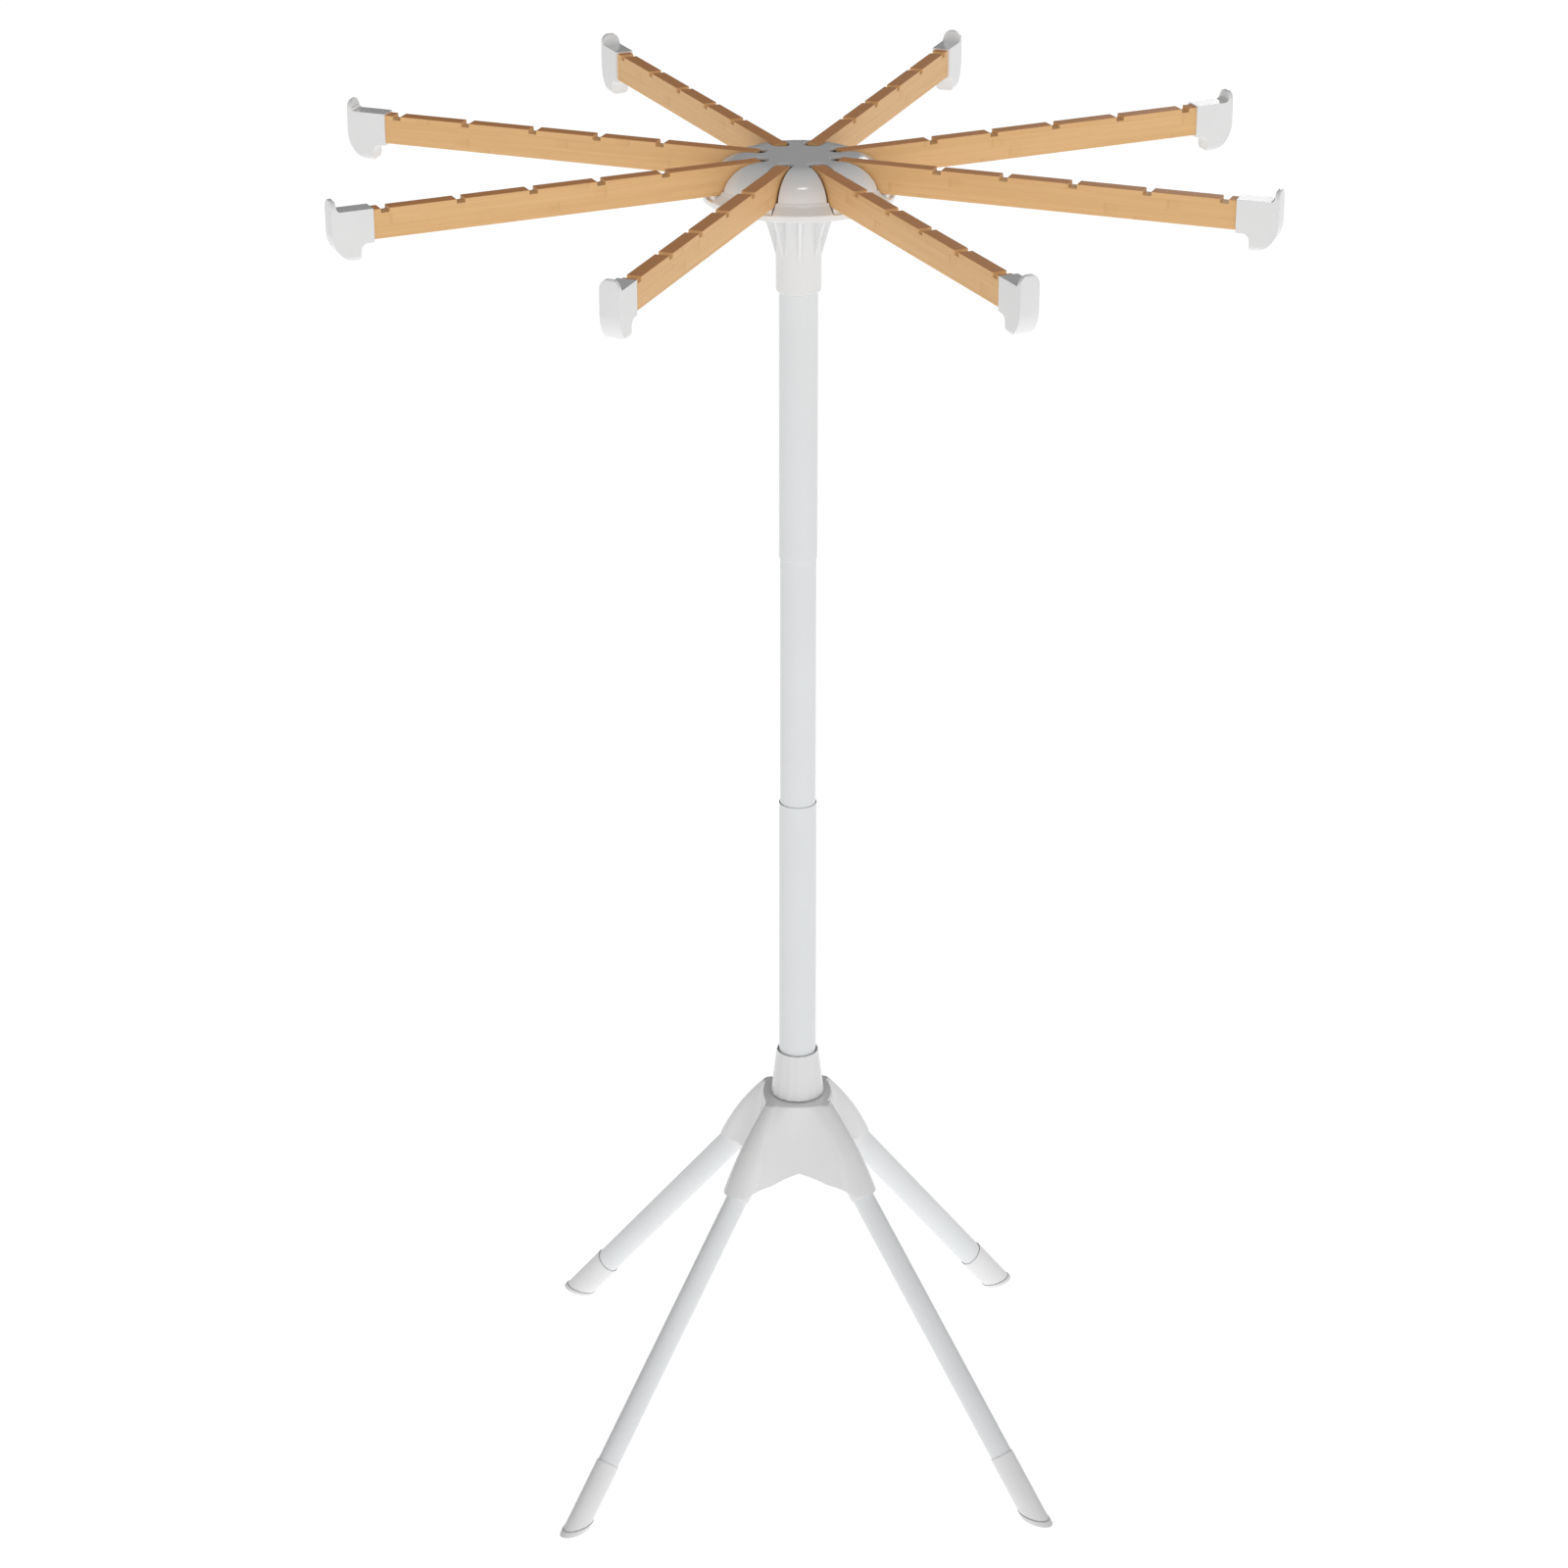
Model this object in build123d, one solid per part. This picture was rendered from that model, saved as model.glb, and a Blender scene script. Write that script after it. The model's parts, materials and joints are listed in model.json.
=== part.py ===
from build123d import *
import math
import os

# Rotary clothes airer: eight notched bamboo arms in a turning hub, a three-piece
# steel pole, and four folding legs.  Units are millimetres and degrees.  The
# origin is on the floor below the pole, +Z runs up the pole, and -Y is the front.

ARM_COUNT = 8
LEG_COUNT = 4
ARM_FIRST_ANGLE = 22.5
LEG_FIRST_ANGLE = 45.0

# How far a cutter runs past the piece that it cuts
OVERCUT = 1.0
# Edges this close in height count as level
SAME_HEIGHT = 0.01

# Pole
POLE_R = 19.0
MIDDLE_R = 18.0
MIDDLE_BORE_R = 16.8
POLE_BOTTOM = 297.0
LOWER_TUBE_TOP = 708.5
UPPER_TUBE_BOTTOM = 972.5
POLE_TOP = 1333.0
TUBE_OVERLAP = 80.0
RIM_GAP = 0.6
RIM_DEPTH = 6.0
TUBE_LIP_R = 0.7

# Plugs in the ends of the pole
PLUG_WALL = 3.0
BOTTOM_PLUG_DEPTH = 18.0
BOTTOM_PLUG_CAP = 2.0
TOP_PLUG_DEPTH = 30.0
TOP_PLUG_CAP = 1.5

# Arms
ARM_TOP = 1378.0
ARM_HEIGHT = 28.0
ARM_THICKNESS = 14.0
ARM_INNER_R = 41.5
ARM_OUTER_R = 452.0
ARM_EDGE_R = 0.8
ARM_PIVOT_R = 57.0
ARM_PIVOT_Z = ARM_TOP - ARM_HEIGHT / 2
NOTCH_RADII = (139.0, 204.0, 271.0, 342.0, 415.0)
NOTCH_WIDTH = 8.0
NOTCH_DEPTH = 4.0
PIN_R = 3.0
PIN_CLEARANCE = 0.1

# Arm caps, with heights measured from the top of the arm
CAP_WIDTH = 18.4
CAP_INNER_R = 427.0
CAP_OUTER_R = 467.0
CAP_ROOF = 1.5
CAP_FLOOR = 1.9
CAP_TAB_HEIGHT = 12.3
CAP_TAB_THICKNESS = 5.0
CAP_TAB_FILLET = 4.0
CAP_TAB_DRAFT = 0.6
CAP_TAB_TIP_R = 2.0
CAP_TOE = 46.0
CAP_TOE_R = 440.0
CAP_TOE_FLAT = 3.0
CAP_NOSE_DROP = 19.0
CAP_THROAT_R = 7.0
CAP_TOP_ROUND = 9.0
CAP_TOE_ROUND = 6.0

# Turning hub
HUB_TOP = ARM_TOP
DOME_R = 83.0
DOME_PLATE_R = 46.0
DOME_DROP = 29.0
DOME_BOTTOM = 1344.0
DOME_WALL = 3.0
DOME_FOOT_R = 5.0
DOME_FOOT_EDGE = 0.8
DOME_POST_R = 4.0
DOME_POST_SKIN = 1.0
SLOT_WIDTH = 15.2
SLOT_CENTRE_R = 41.0
FLANGE_R = 93.0
FLANGE_TOP = 1344.0
FLANGE_LIP = 6.0
FLANGE_EDGE = 0.8
FLANGE_ROOT = 1332.5
FLANGE_ROOT_R = 44.0
CARRIER_R = 68.0
CARRIER_TOP = 1368.0
CARRIER_FLOOR = 1341.5
CARRIER_BEVEL_DROP = 6.0
CARRIER_BEVEL_INSET = 8.0
ARM_REST_R = (73.5, 90.0)
ARM_REST_WIDTH = 12.0
ARM_REST_GAP = 0.3
SOCKET_R = 22.0
SOCKET_BORE_R = 20.5
SOCKET_BOTTOM = 1246.0
SOCKET_LIP_R = 1.2
RIB_THICKNESS = 3.0
RIB_FOOT_Z = 1284.0
RIB_FOOT_WIDTH = 0.4
RIB_HEAD_R = 39.0
RIB_BURIED = 0.5
BUSH_BORE_R = POLE_R + 0.08
BUSH_FOOT_GAP = 1.0
BUSH_HEAD_GAP = 4.0
SPINDLE_R = 6.0
SPINDLE_CLEARANCE = 0.08
SCREW_WELL_R = 14.0
SCREW_WELL_FLOOR = 1350.0
WASHER_R = 11.0
WASHER_THICKNESS = 1.5
HUB_END_PLAY = 0.5
HUB_SCREW_R = 2.4
HUB_SCREW_LENGTH = 16.0
HUB_SCREW_TIP_GAP = 3.0
HUB_SCREW_HEAD_R = 5.0
HUB_SCREW_HEAD_HEIGHT = 3.5
HUB_SCREW_HEAD_ROUND = 1.2
RECESS_SPAN = 5.0
RECESS_WIDTH = 0.9
RECESS_DEPTH = 1.5
ARM_PIN_LENGTH = 27.2
STUD_COUNT = 4
STUD_CIRCLE_R = 26.0
STUD_R = 1.8
STUD_DEPTH = 10.0
STUD_HEAD_GAP = 2.4

# Collar that grips the pole
COLLAR_SIDES = 16
COLLAR_BOTTOM = 378.5
COLLAR_TOP = 427.5
COLLAR_BOTTOM_R = 27.4
COLLAR_TOP_R = 21.6
COLLAR_BORE_R = 21.0
COLLAR_MOUTH_R = 20.2
COLLAR_MOUTH_DEPTH = 8.0
COLLET_R = 20.7
COLLET_SLIT = 1.6
COLLET_SLITS = 3
COLLET_FIRST_SLIT = 30.0
COLLET_SLIT_FOOT = 4.0
COLLET_SEAT = 10.0
COLLET_HEAD_GAP = 1.5

# Base shell: tip radius, tip half width and web radius at four heights
SHELL_TOP = 377.0
SHELL_BOTTOM = 294.5
SHELL_WALL = 2.2
SHELL_HEIGHTS = (377.0, 352.0, 324.0, 294.5)
SHELL_TIPS = (42.0, 67.0, 89.5, 109.5)
SHELL_TIP_HALF_WIDTHS = (7.0, 10.5, 13.5, 16.0)
SHELL_WEBS = (32.5, 35.0, 39.5, 47.0)
WEB_PEAK_RISE = 6.5
WEB_PEAK_HALF_WIDTH = 50.0
WEB_CUT_REACH = 80.0

# Base core
CORE_R = 22.6
CORE_BOTTOM = 294.5
CORE_TOP = SHELL_TOP - SHELL_WALL
LUG_GAP = 11.2
LUG_THICKNESS = 2.6
LUG_REACH = 8.5
LUG_ROUND = 7.5
LEG_PIN_LENGTH = LUG_GAP + 2 * LUG_THICKNESS

# Legs.  Distances along a leg run from its pivot.
LEG_LEAN = 40.3
LEG_FLOOR_R = 335.0
LEG_PIVOT_Z = 322.0
LEG_LONG = 27.0
LEG_SHORT = 19.0
LEG_WALL = 1.2
TONGUE_THICKNESS = 10.4
TONGUE_R = 8.5
SOCKET_START = 21.0
SOCKET_END = 47.0
SOCKET_SKIN = 1.3
SOCKET_EDGE_R = 1.4
LEG_TUBE_START = 25.0
LEG_OVERRUN = 40.0
FOOT_SLEEVE_SKIN = 1.0
FOOT_SLEEVE_TOP_Z = 57.0
LEG_TUBE_END_Z = 16.0
PAD_HEIGHT = 5.6
PAD_SEAM = 0.4
PAD_OVERHANG = 1.0
PAD_NECK_INSET = 3.0
RIVET_R = 2.0

LEG_LENGTH = LEG_PIVOT_Z / math.cos(math.radians(LEG_LEAN))
LEG_PIVOT_R = LEG_FLOOR_R - LEG_PIVOT_Z * math.tan(math.radians(LEG_LEAN))
SPINDLE_TOP = SCREW_WELL_FLOOR + HUB_END_PLAY
UP = (Align.CENTER, Align.CENTER, Align.MIN)


def disc(radius, low, high):
    """A solid cylinder on the pole's axis between two heights."""
    return Pos(0, 0, low) * Cylinder(radius, high - low, align=UP)


def ring(outer, inner, low, high):
    """A tube on the pole's axis between two heights."""
    return disc(outer, low, high) - disc(inner, low - OVERCUT, high + OVERCUT)


def cross_pin(radius, length):
    """A cylinder along Y, centred on the origin."""
    return Rot(90, 0, 0) * Cylinder(radius, length)


def turned(shape, first_angle, count):
    """Copies of a shape spaced evenly about the pole."""
    return [Rot(0, 0, first_angle + 360 / count * i) * shape for i in range(count)]


def revolved(points):
    """A solid turned about the pole from an outline of (radius, height) points."""
    return revolve(make_face(Plane.XZ * Polyline(*points, close=True)), Axis.Z)


def edges_at(shape, height):
    """The edges of a shape that lie wholly at one height."""
    return shape.edges().filter_by_position(Axis.Z, height - SAME_HEIGHT, height + SAME_HEIGHT)


# ---------------------------------------------------------------- pole

def lower_tube():
    tube = ring(POLE_R, MIDDLE_R, POLE_BOTTOM, LOWER_TUBE_TOP)
    mouth = disc(MIDDLE_R + RIM_GAP, LOWER_TUBE_TOP - RIM_DEPTH, LOWER_TUBE_TOP + OVERCUT)
    return tube - mouth


def middle_tube():
    return ring(MIDDLE_R, MIDDLE_BORE_R, LOWER_TUBE_TOP - TUBE_OVERLAP, UPPER_TUBE_BOTTOM + TUBE_OVERLAP)


def upper_tube():
    tube = disc(POLE_R, UPPER_TUBE_BOTTOM, POLE_TOP)
    tube = fillet(edges_at(tube, UPPER_TUBE_BOTTOM), TUBE_LIP_R)
    return tube - disc(MIDDLE_R, UPPER_TUBE_BOTTOM - OVERCUT, POLE_TOP + OVERCUT)


def pole_bottom_plug():
    """A moulded plug that closes the foot of the pole."""
    head = POLE_BOTTOM + BOTTOM_PLUG_DEPTH
    plug = disc(MIDDLE_R, POLE_BOTTOM, head)
    plug -= disc(MIDDLE_R - PLUG_WALL, POLE_BOTTOM + PLUG_WALL, head + OVERCUT)
    return plug + disc(POLE_R, POLE_BOTTOM - BOTTOM_PLUG_CAP, POLE_BOTTOM)


def pole_top_plug():
    """A plug in the head of the pole that carries the hub's spindle."""
    shoulder = POLE_TOP + TOP_PLUG_CAP
    plug = disc(MIDDLE_R, POLE_TOP - TOP_PLUG_DEPTH, POLE_TOP) + disc(POLE_R, POLE_TOP, shoulder)
    spindle = disc(SPINDLE_R, shoulder, SPINDLE_TOP)
    screw_tip = SPINDLE_TOP + WASHER_THICKNESS - HUB_SCREW_LENGTH
    return plug + spindle - disc(HUB_SCREW_R, screw_tip - HUB_SCREW_TIP_GAP, SPINDLE_TOP + OVERCUT)


def hub_washer():
    return ring(WASHER_R, HUB_SCREW_R, SPINDLE_TOP, SPINDLE_TOP + WASHER_THICKNESS)


def hub_screw():
    seat = SPINDLE_TOP + WASHER_THICKNESS
    crown = seat + HUB_SCREW_HEAD_HEIGHT
    head = disc(HUB_SCREW_HEAD_R, seat, crown)
    head = fillet(edges_at(head, crown), HUB_SCREW_HEAD_ROUND)
    return head + disc(HUB_SCREW_R, seat - HUB_SCREW_LENGTH, seat) - Pos(0, 0, crown) * cross_recess()


def cross_recess():
    """The cutter for a cross-head screw's recess, centred on the origin."""
    bar = Box(RECESS_SPAN, RECESS_WIDTH, 2 * RECESS_DEPTH)
    return bar + Rot(0, 0, 90) * bar


# ---------------------------------------------------------------- arms

def arm_plank():
    """One bamboo arm lying along +X."""
    middle = (ARM_INNER_R + ARM_OUTER_R) / 2
    plank = Pos(middle, 0, ARM_PIVOT_Z) * Box(ARM_OUTER_R - ARM_INNER_R, ARM_THICKNESS, ARM_HEIGHT)
    plank = fillet(plank.edges().filter_by(Axis.X), ARM_EDGE_R)
    for radius in NOTCH_RADII:
        plank -= Pos(radius, 0, ARM_TOP) * Box(NOTCH_WIDTH, ARM_THICKNESS + OVERCUT, NOTCH_DEPTH * 2)
    hole = cross_pin(PIN_R + PIN_CLEARANCE, ARM_THICKNESS + OVERCUT)
    return plank - Pos(ARM_PIVOT_R, 0, ARM_PIVOT_Z) * hole


def cap_side_view():
    """The side outline of an arm cap: sleeve, upstanding tab and hooked toe."""
    roof = ARM_TOP + CAP_ROOF
    floor = ARM_TOP - ARM_HEIGHT - CAP_FLOOR
    toe = ARM_TOP - CAP_TOE
    tab_top = ARM_TOP + CAP_TAB_HEIGHT
    tab_foot = CAP_OUTER_R - CAP_TAB_THICKNESS
    tip_start = tab_foot + CAP_TAB_DRAFT
    tip_end = tip_start + 2 * CAP_TAB_TIP_R
    tip_z = tab_top - CAP_TAB_TIP_R
    nose = ARM_TOP - CAP_NOSE_DROP
    toe_end = CAP_TOE_R + CAP_TOE_FLAT
    spread = CAP_OUTER_R - toe_end
    bow = math.sqrt(0.5)
    nose_middle = (toe_end + spread * bow, nose - (nose - toe) * bow)
    throat_middle = (CAP_TOE_R - CAP_THROAT_R * (1 - bow), floor - CAP_THROAT_R * (1 - bow))
    fillet_middle = (tab_foot - CAP_TAB_FILLET * (1 - bow), roof + CAP_TAB_FILLET * (1 - bow))
    outline = [
        Line((CAP_INNER_R, roof), (tab_foot - CAP_TAB_FILLET, roof)),
        ThreePointArc((tab_foot - CAP_TAB_FILLET, roof), fillet_middle, (tab_foot, roof + CAP_TAB_FILLET)),
        Line((tab_foot, roof + CAP_TAB_FILLET), (tip_start, tip_z)),
        ThreePointArc((tip_start, tip_z), (tip_start + CAP_TAB_TIP_R, tab_top), (tip_end, tip_z)),
        Line((tip_end, tip_z), (CAP_OUTER_R, roof)),
        Line((CAP_OUTER_R, roof), (CAP_OUTER_R, nose)),
        ThreePointArc((CAP_OUTER_R, nose), nose_middle, (toe_end, toe)),
        Line((toe_end, toe), (CAP_TOE_R, toe)),
        Line((CAP_TOE_R, toe), (CAP_TOE_R, floor - CAP_THROAT_R)),
        ThreePointArc((CAP_TOE_R, floor - CAP_THROAT_R), throat_middle, (CAP_TOE_R - CAP_THROAT_R, floor)),
        Line((CAP_TOE_R - CAP_THROAT_R, floor), (CAP_INNER_R, floor)),
        Line((CAP_INNER_R, floor), (CAP_INNER_R, roof)),
    ]
    return make_face(Plane.XZ * Curve(outline))


def arm_cap():
    """The moulded cap on the outer end of an arm that lies along +X."""
    body = extrude(cap_side_view(), CAP_WIDTH / 2, both=True)
    low, high = ARM_TOP - CAP_TOE, ARM_TOP + CAP_TAB_HEIGHT
    end_view = Pos(0, (low + high) / 2) * Rectangle(CAP_WIDTH, high - low)
    end_view = fillet(end_view.vertices().group_by(Axis.Y)[-1], CAP_TOP_ROUND)
    end_view = fillet(end_view.vertices().group_by(Axis.Y)[0], CAP_TOE_ROUND)
    body &= extrude(Plane.YZ * end_view, CAP_OUTER_R + OVERCUT)
    depth = ARM_OUTER_R - CAP_INNER_R
    cavity = Pos(CAP_INNER_R + depth / 2, 0, ARM_PIVOT_Z) * Box(depth, ARM_THICKNESS, ARM_HEIGHT)
    return body - cavity


# ---------------------------------------------------------------- turning hub

def arm_slot(low, high, rounded):
    """The cutter for one arm's slot along +X."""
    reach = FLANGE_R + SLOT_WIDTH - SLOT_CENTRE_R
    start = SLOT_CENTRE_R if rounded else SLOT_CENTRE_R - SLOT_WIDTH / 2
    height = high - low
    slot = Pos(start + reach / 2, 0, low + height / 2) * Box(reach, SLOT_WIDTH, height)
    if rounded:
        slot += Pos(SLOT_CENTRE_R, 0, low) * Cylinder(SLOT_WIDTH / 2, height, align=UP)
    return slot


def hub_dome():
    """The domed cover, cut by the arm slots into eight petals."""
    def outline(inset):
        drop = HUB_TOP - DOME_DROP
        spread = DOME_R - DOME_PLATE_R
        return [
            Line((0, DOME_BOTTOM), (0, HUB_TOP - inset)),
            Line((0, HUB_TOP - inset), (DOME_PLATE_R, HUB_TOP - inset)),
            EllipticalCenterArc((DOME_PLATE_R, drop), spread - inset, DOME_DROP - inset, arc_size=90),
            Line((DOME_R - inset, drop), (DOME_R - inset, DOME_BOTTOM)),
            Line((DOME_R - inset, DOME_BOTTOM), (0, DOME_BOTTOM)),
        ]
    shell = [revolve(make_face(Plane.XZ * Curve(outline(inset))), Axis.Z) for inset in (0, DOME_WALL)]
    dome = shell[0] - shell[1] + dome_foot()
    for slot in turned(arm_slot(DOME_BOTTOM - OVERCUT, HUB_TOP + OVERCUT, True), ARM_FIRST_ANGLE, ARM_COUNT):
        dome -= slot
    post = Pos(STUD_CIRCLE_R, 0, 0) * disc(DOME_POST_R, CARRIER_TOP, HUB_TOP - DOME_POST_SKIN)
    for piece in turned(post, 0, STUD_COUNT):
        dome += piece
    for stud in dome_screws():
        dome -= stud
    return dome


def dome_foot():
    """The flare around the foot of the dome, where it meets the flange."""
    rise = DOME_BOTTOM + DOME_FOOT_EDGE
    wide = DOME_R + DOME_FOOT_R
    bow = DOME_FOOT_R * (1 - math.sqrt(0.5))
    outline = [
        Line((DOME_R - DOME_WALL / 2, DOME_BOTTOM), (wide, DOME_BOTTOM)),
        Line((wide, DOME_BOTTOM), (wide, rise)),
        ThreePointArc((wide, rise), (DOME_R + bow, rise + bow), (DOME_R, rise + DOME_FOOT_R)),
        Line((DOME_R, rise + DOME_FOOT_R), (DOME_R - DOME_WALL / 2, rise + DOME_FOOT_R)),
        Line((DOME_R - DOME_WALL / 2, rise + DOME_FOOT_R), (DOME_R - DOME_WALL / 2, DOME_BOTTOM)),
    ]
    return revolve(make_face(Plane.XZ * Curve(outline)), Axis.Z)


def hub_rib():
    """One gusset under the flange, along +X, tapering down to its foot on the socket."""
    root, head = SOCKET_R - RIB_BURIED, FLANGE_ROOT + RIB_BURIED
    foot = SOCKET_R + RIB_FOOT_WIDTH
    web = Polyline((root, RIB_FOOT_Z), (foot, RIB_FOOT_Z), (RIB_HEAD_R, head), (root, head), close=True)
    return extrude(make_face(Plane.XZ * web), RIB_THICKNESS / 2, both=True)


def hub_body():
    """The flange, pole socket, ribs and slotted carrier in one moulding."""
    lip = FLANGE_TOP - FLANGE_LIP
    ceiling = POLE_TOP + TOP_PLUG_CAP + HUB_END_PLAY
    body = revolved([
        (SOCKET_BORE_R, SOCKET_BOTTOM), (SOCKET_R, SOCKET_BOTTOM), (SOCKET_R, FLANGE_ROOT),
        (FLANGE_ROOT_R, FLANGE_ROOT), (FLANGE_R - FLANGE_EDGE, lip), (FLANGE_R, lip + FLANGE_EDGE),
        (FLANGE_R, FLANGE_TOP - FLANGE_EDGE), (FLANGE_R - FLANGE_EDGE, FLANGE_TOP), (CARRIER_R, FLANGE_TOP),
        (CARRIER_R, CARRIER_TOP - CARRIER_BEVEL_DROP), (CARRIER_R - CARRIER_BEVEL_INSET, CARRIER_TOP),
        (SCREW_WELL_R, CARRIER_TOP), (SCREW_WELL_R, SCREW_WELL_FLOOR),
        (SPINDLE_R + SPINDLE_CLEARANCE, SCREW_WELL_FLOOR), (SPINDLE_R + SPINDLE_CLEARANCE, ceiling),
        (SOCKET_BORE_R, ceiling)])
    socket_rim = body.edges().filter_by(GeomType.CIRCLE).group_by(Axis.Z)[0].sort_by(SortBy.RADIUS)[-1]
    body = fillet(socket_rim, SOCKET_LIP_R)
    rest_low, rest_high = FLANGE_TOP - OVERCUT, ARM_TOP - ARM_HEIGHT - ARM_REST_GAP
    length = ARM_REST_R[1] - ARM_REST_R[0]
    rest = Pos((ARM_REST_R[0] + ARM_REST_R[1]) / 2, 0, (rest_low + rest_high) / 2)
    rest *= Box(length, ARM_REST_WIDTH, rest_high - rest_low)
    slots = turned(arm_slot(CARRIER_FLOOR, CARRIER_TOP + OVERCUT, False), ARM_FIRST_ANGLE, ARM_COUNT)
    keep = ring(FLANGE_R + 2 * SLOT_WIDTH, CARRIER_R, CARRIER_FLOOR - OVERCUT, FLANGE_TOP)
    for slot in slots:
        body -= slot - keep
    for piece in turned(rest, ARM_FIRST_ANGLE, ARM_COUNT) + turned(hub_rib(), 0, ARM_COUNT):
        body += piece
    for cut in arm_pins() + dome_screws():
        body -= cut
    return body


def hub_bush():
    return ring(SOCKET_BORE_R, BUSH_BORE_R, SOCKET_BOTTOM + BUSH_FOOT_GAP, POLE_TOP - BUSH_HEAD_GAP)


def arm_pins():
    pin = Pos(ARM_PIVOT_R, 0, ARM_PIVOT_Z) * cross_pin(PIN_R, ARM_PIN_LENGTH)
    return turned(pin, ARM_FIRST_ANGLE, ARM_COUNT)


def dome_screws():
    """Studs that hold the dome on the carrier."""
    stud = Pos(STUD_CIRCLE_R, 0, 0) * disc(STUD_R, CARRIER_TOP - STUD_DEPTH, HUB_TOP - STUD_HEAD_GAP)
    return turned(stud, 0, STUD_COUNT)


# ---------------------------------------------------------------- base

def shell_section(tip, half_width, web, inset):
    """A four-pointed outline: round tips over the legs, hollow webs between."""
    lines = []
    tip, half_width, web = tip - inset, half_width - inset, web - inset
    for i in range(LEG_COUNT):
        angle = LEG_FIRST_ANGLE + 360 / LEG_COUNT * i
        start = Vector(tip - half_width, -half_width).rotate(Axis.Z, angle)
        peak = Vector(tip, 0).rotate(Axis.Z, angle)
        end = Vector(tip - half_width, half_width).rotate(Axis.Z, angle)
        hollow = Vector(web, 0).rotate(Axis.Z, angle + 180 / LEG_COUNT)
        after = start.rotate(Axis.Z, 360 / LEG_COUNT)
        lines += [ThreePointArc(start, peak, end), ThreePointArc(end, hollow, after)]
    return make_face(Curve(lines))


def shell_solid(inset, drop):
    """The base shell's outer or inner solid, lofted through its sections."""
    rows = zip(SHELL_HEIGHTS, SHELL_TIPS, SHELL_TIP_HALF_WIDTHS, SHELL_WEBS)
    return loft([
        Pos(0, 0, height - drop) * shell_section(tip, half_width, web, inset)
        for height, tip, half_width, web in rows])


def base_hub():
    """The base's outer moulding."""
    shell = shell_solid(0, 0)
    shell -= shell_solid(SHELL_WALL, SHELL_WALL)
    peak = Polyline(
        (-WEB_PEAK_HALF_WIDTH, SHELL_BOTTOM - OVERCUT), (-WEB_PEAK_HALF_WIDTH, SHELL_BOTTOM),
        (0, SHELL_BOTTOM + WEB_PEAK_RISE), (WEB_PEAK_HALF_WIDTH, SHELL_BOTTOM),
        (WEB_PEAK_HALF_WIDTH, SHELL_BOTTOM - OVERCUT), close=True)
    wedge = extrude(make_face(Plane.XZ * peak), WEB_CUT_REACH, both=True)
    for angle in (0, 90):
        shell -= Rot(0, 0, angle) * wedge
    return shell - disc(COLLET_R, CORE_TOP - OVERCUT, SHELL_TOP + OVERCUT)


def leg_lugs():
    """The pair of lugs that hold one leg's pin, along +X."""
    reach = LEG_PIVOT_R + LUG_REACH
    plate = Pos(reach / 2, 0, LEG_PIVOT_Z) * Box(reach, LUG_THICKNESS, 2 * LUG_REACH)
    plate = fillet(plate.edges().filter_by(Axis.Y).group_by(Axis.X)[-1], LUG_ROUND)
    offset = (LUG_GAP + LUG_THICKNESS) / 2
    return Pos(0, offset, 0) * plate + Pos(0, -offset, 0) * plate


def base_core():
    """The spider inside the base: a socket for the pole and a pair of lugs for each leg."""
    core = disc(CORE_R, CORE_BOTTOM, CORE_TOP)
    for lugs in turned(leg_lugs(), LEG_FIRST_ANGLE, LEG_COUNT):
        core += lugs
    core -= disc(POLE_R, POLE_BOTTOM - BOTTOM_PLUG_CAP, CORE_TOP + OVERCUT)
    core -= disc(COLLET_R, CORE_TOP - COLLET_SEAT, CORE_TOP + OVERCUT)
    for cut in leg_pins():
        core -= cut
    return core


def leg_pins():
    pin = Pos(LEG_PIVOT_R, 0, LEG_PIVOT_Z) * cross_pin(PIN_R, LEG_PIN_LENGTH)
    return turned(pin, LEG_FIRST_ANGLE, LEG_COUNT)


def pole_collet():
    """The split sleeve that the collar squeezes on the pole."""
    collet = ring(COLLET_R, POLE_R, CORE_TOP - COLLET_SEAT, COLLAR_TOP - COLLAR_MOUTH_DEPTH - COLLET_HEAD_GAP)
    height = COLLAR_TOP - COLLAR_BOTTOM
    wall = COLLET_R - POLE_R
    slit = Pos(POLE_R + wall / 2, 0, COLLAR_BOTTOM + COLLET_SLIT_FOOT)
    slit *= Box(wall + 2 * OVERCUT, COLLET_SLIT, height, align=UP)
    for cut in turned(slit, COLLET_FIRST_SLIT, COLLET_SLITS):
        collet -= cut
    return collet


def collar_nut():
    """The faceted collar, turned by hand to clamp the pole."""
    low = Pos(0, 0, COLLAR_BOTTOM) * RegularPolygon(COLLAR_BOTTOM_R, COLLAR_SIDES)
    high = Pos(0, 0, COLLAR_TOP) * RegularPolygon(COLLAR_TOP_R, COLLAR_SIDES)
    nut = loft([low, high])
    nut -= disc(COLLAR_MOUTH_R, COLLAR_BOTTOM - OVERCUT, COLLAR_TOP + OVERCUT)
    return nut - disc(COLLAR_BORE_R, COLLAR_BOTTOM - OVERCUT, COLLAR_TOP - COLLAR_MOUTH_DEPTH)


# ---------------------------------------------------------------- legs

def on_leg(shape):
    """Carry a shape from leg axes, with +Z running down the leg, to its place along +X."""
    return Pos(LEG_PIVOT_R, 0, LEG_PIVOT_Z) * Rot(0, 180 - LEG_LEAN, 0) * shape


def oval(long, short, start, end):
    """A straight oval bar along a leg, its long side in the leg's upright plane."""
    return Pos(0, 0, start) * extrude(Ellipse(long / 2, short / 2), end - start)


def below_height(height):
    """A block that reaches from a height to well below the floor, for cutting leg pieces."""
    block = Box(LEG_LENGTH, LEG_LENGTH, LEG_LENGTH, align=(Align.CENTER, Align.CENTER, Align.MAX))
    return Pos(LEG_FLOOR_R, 0, height) * block


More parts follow.
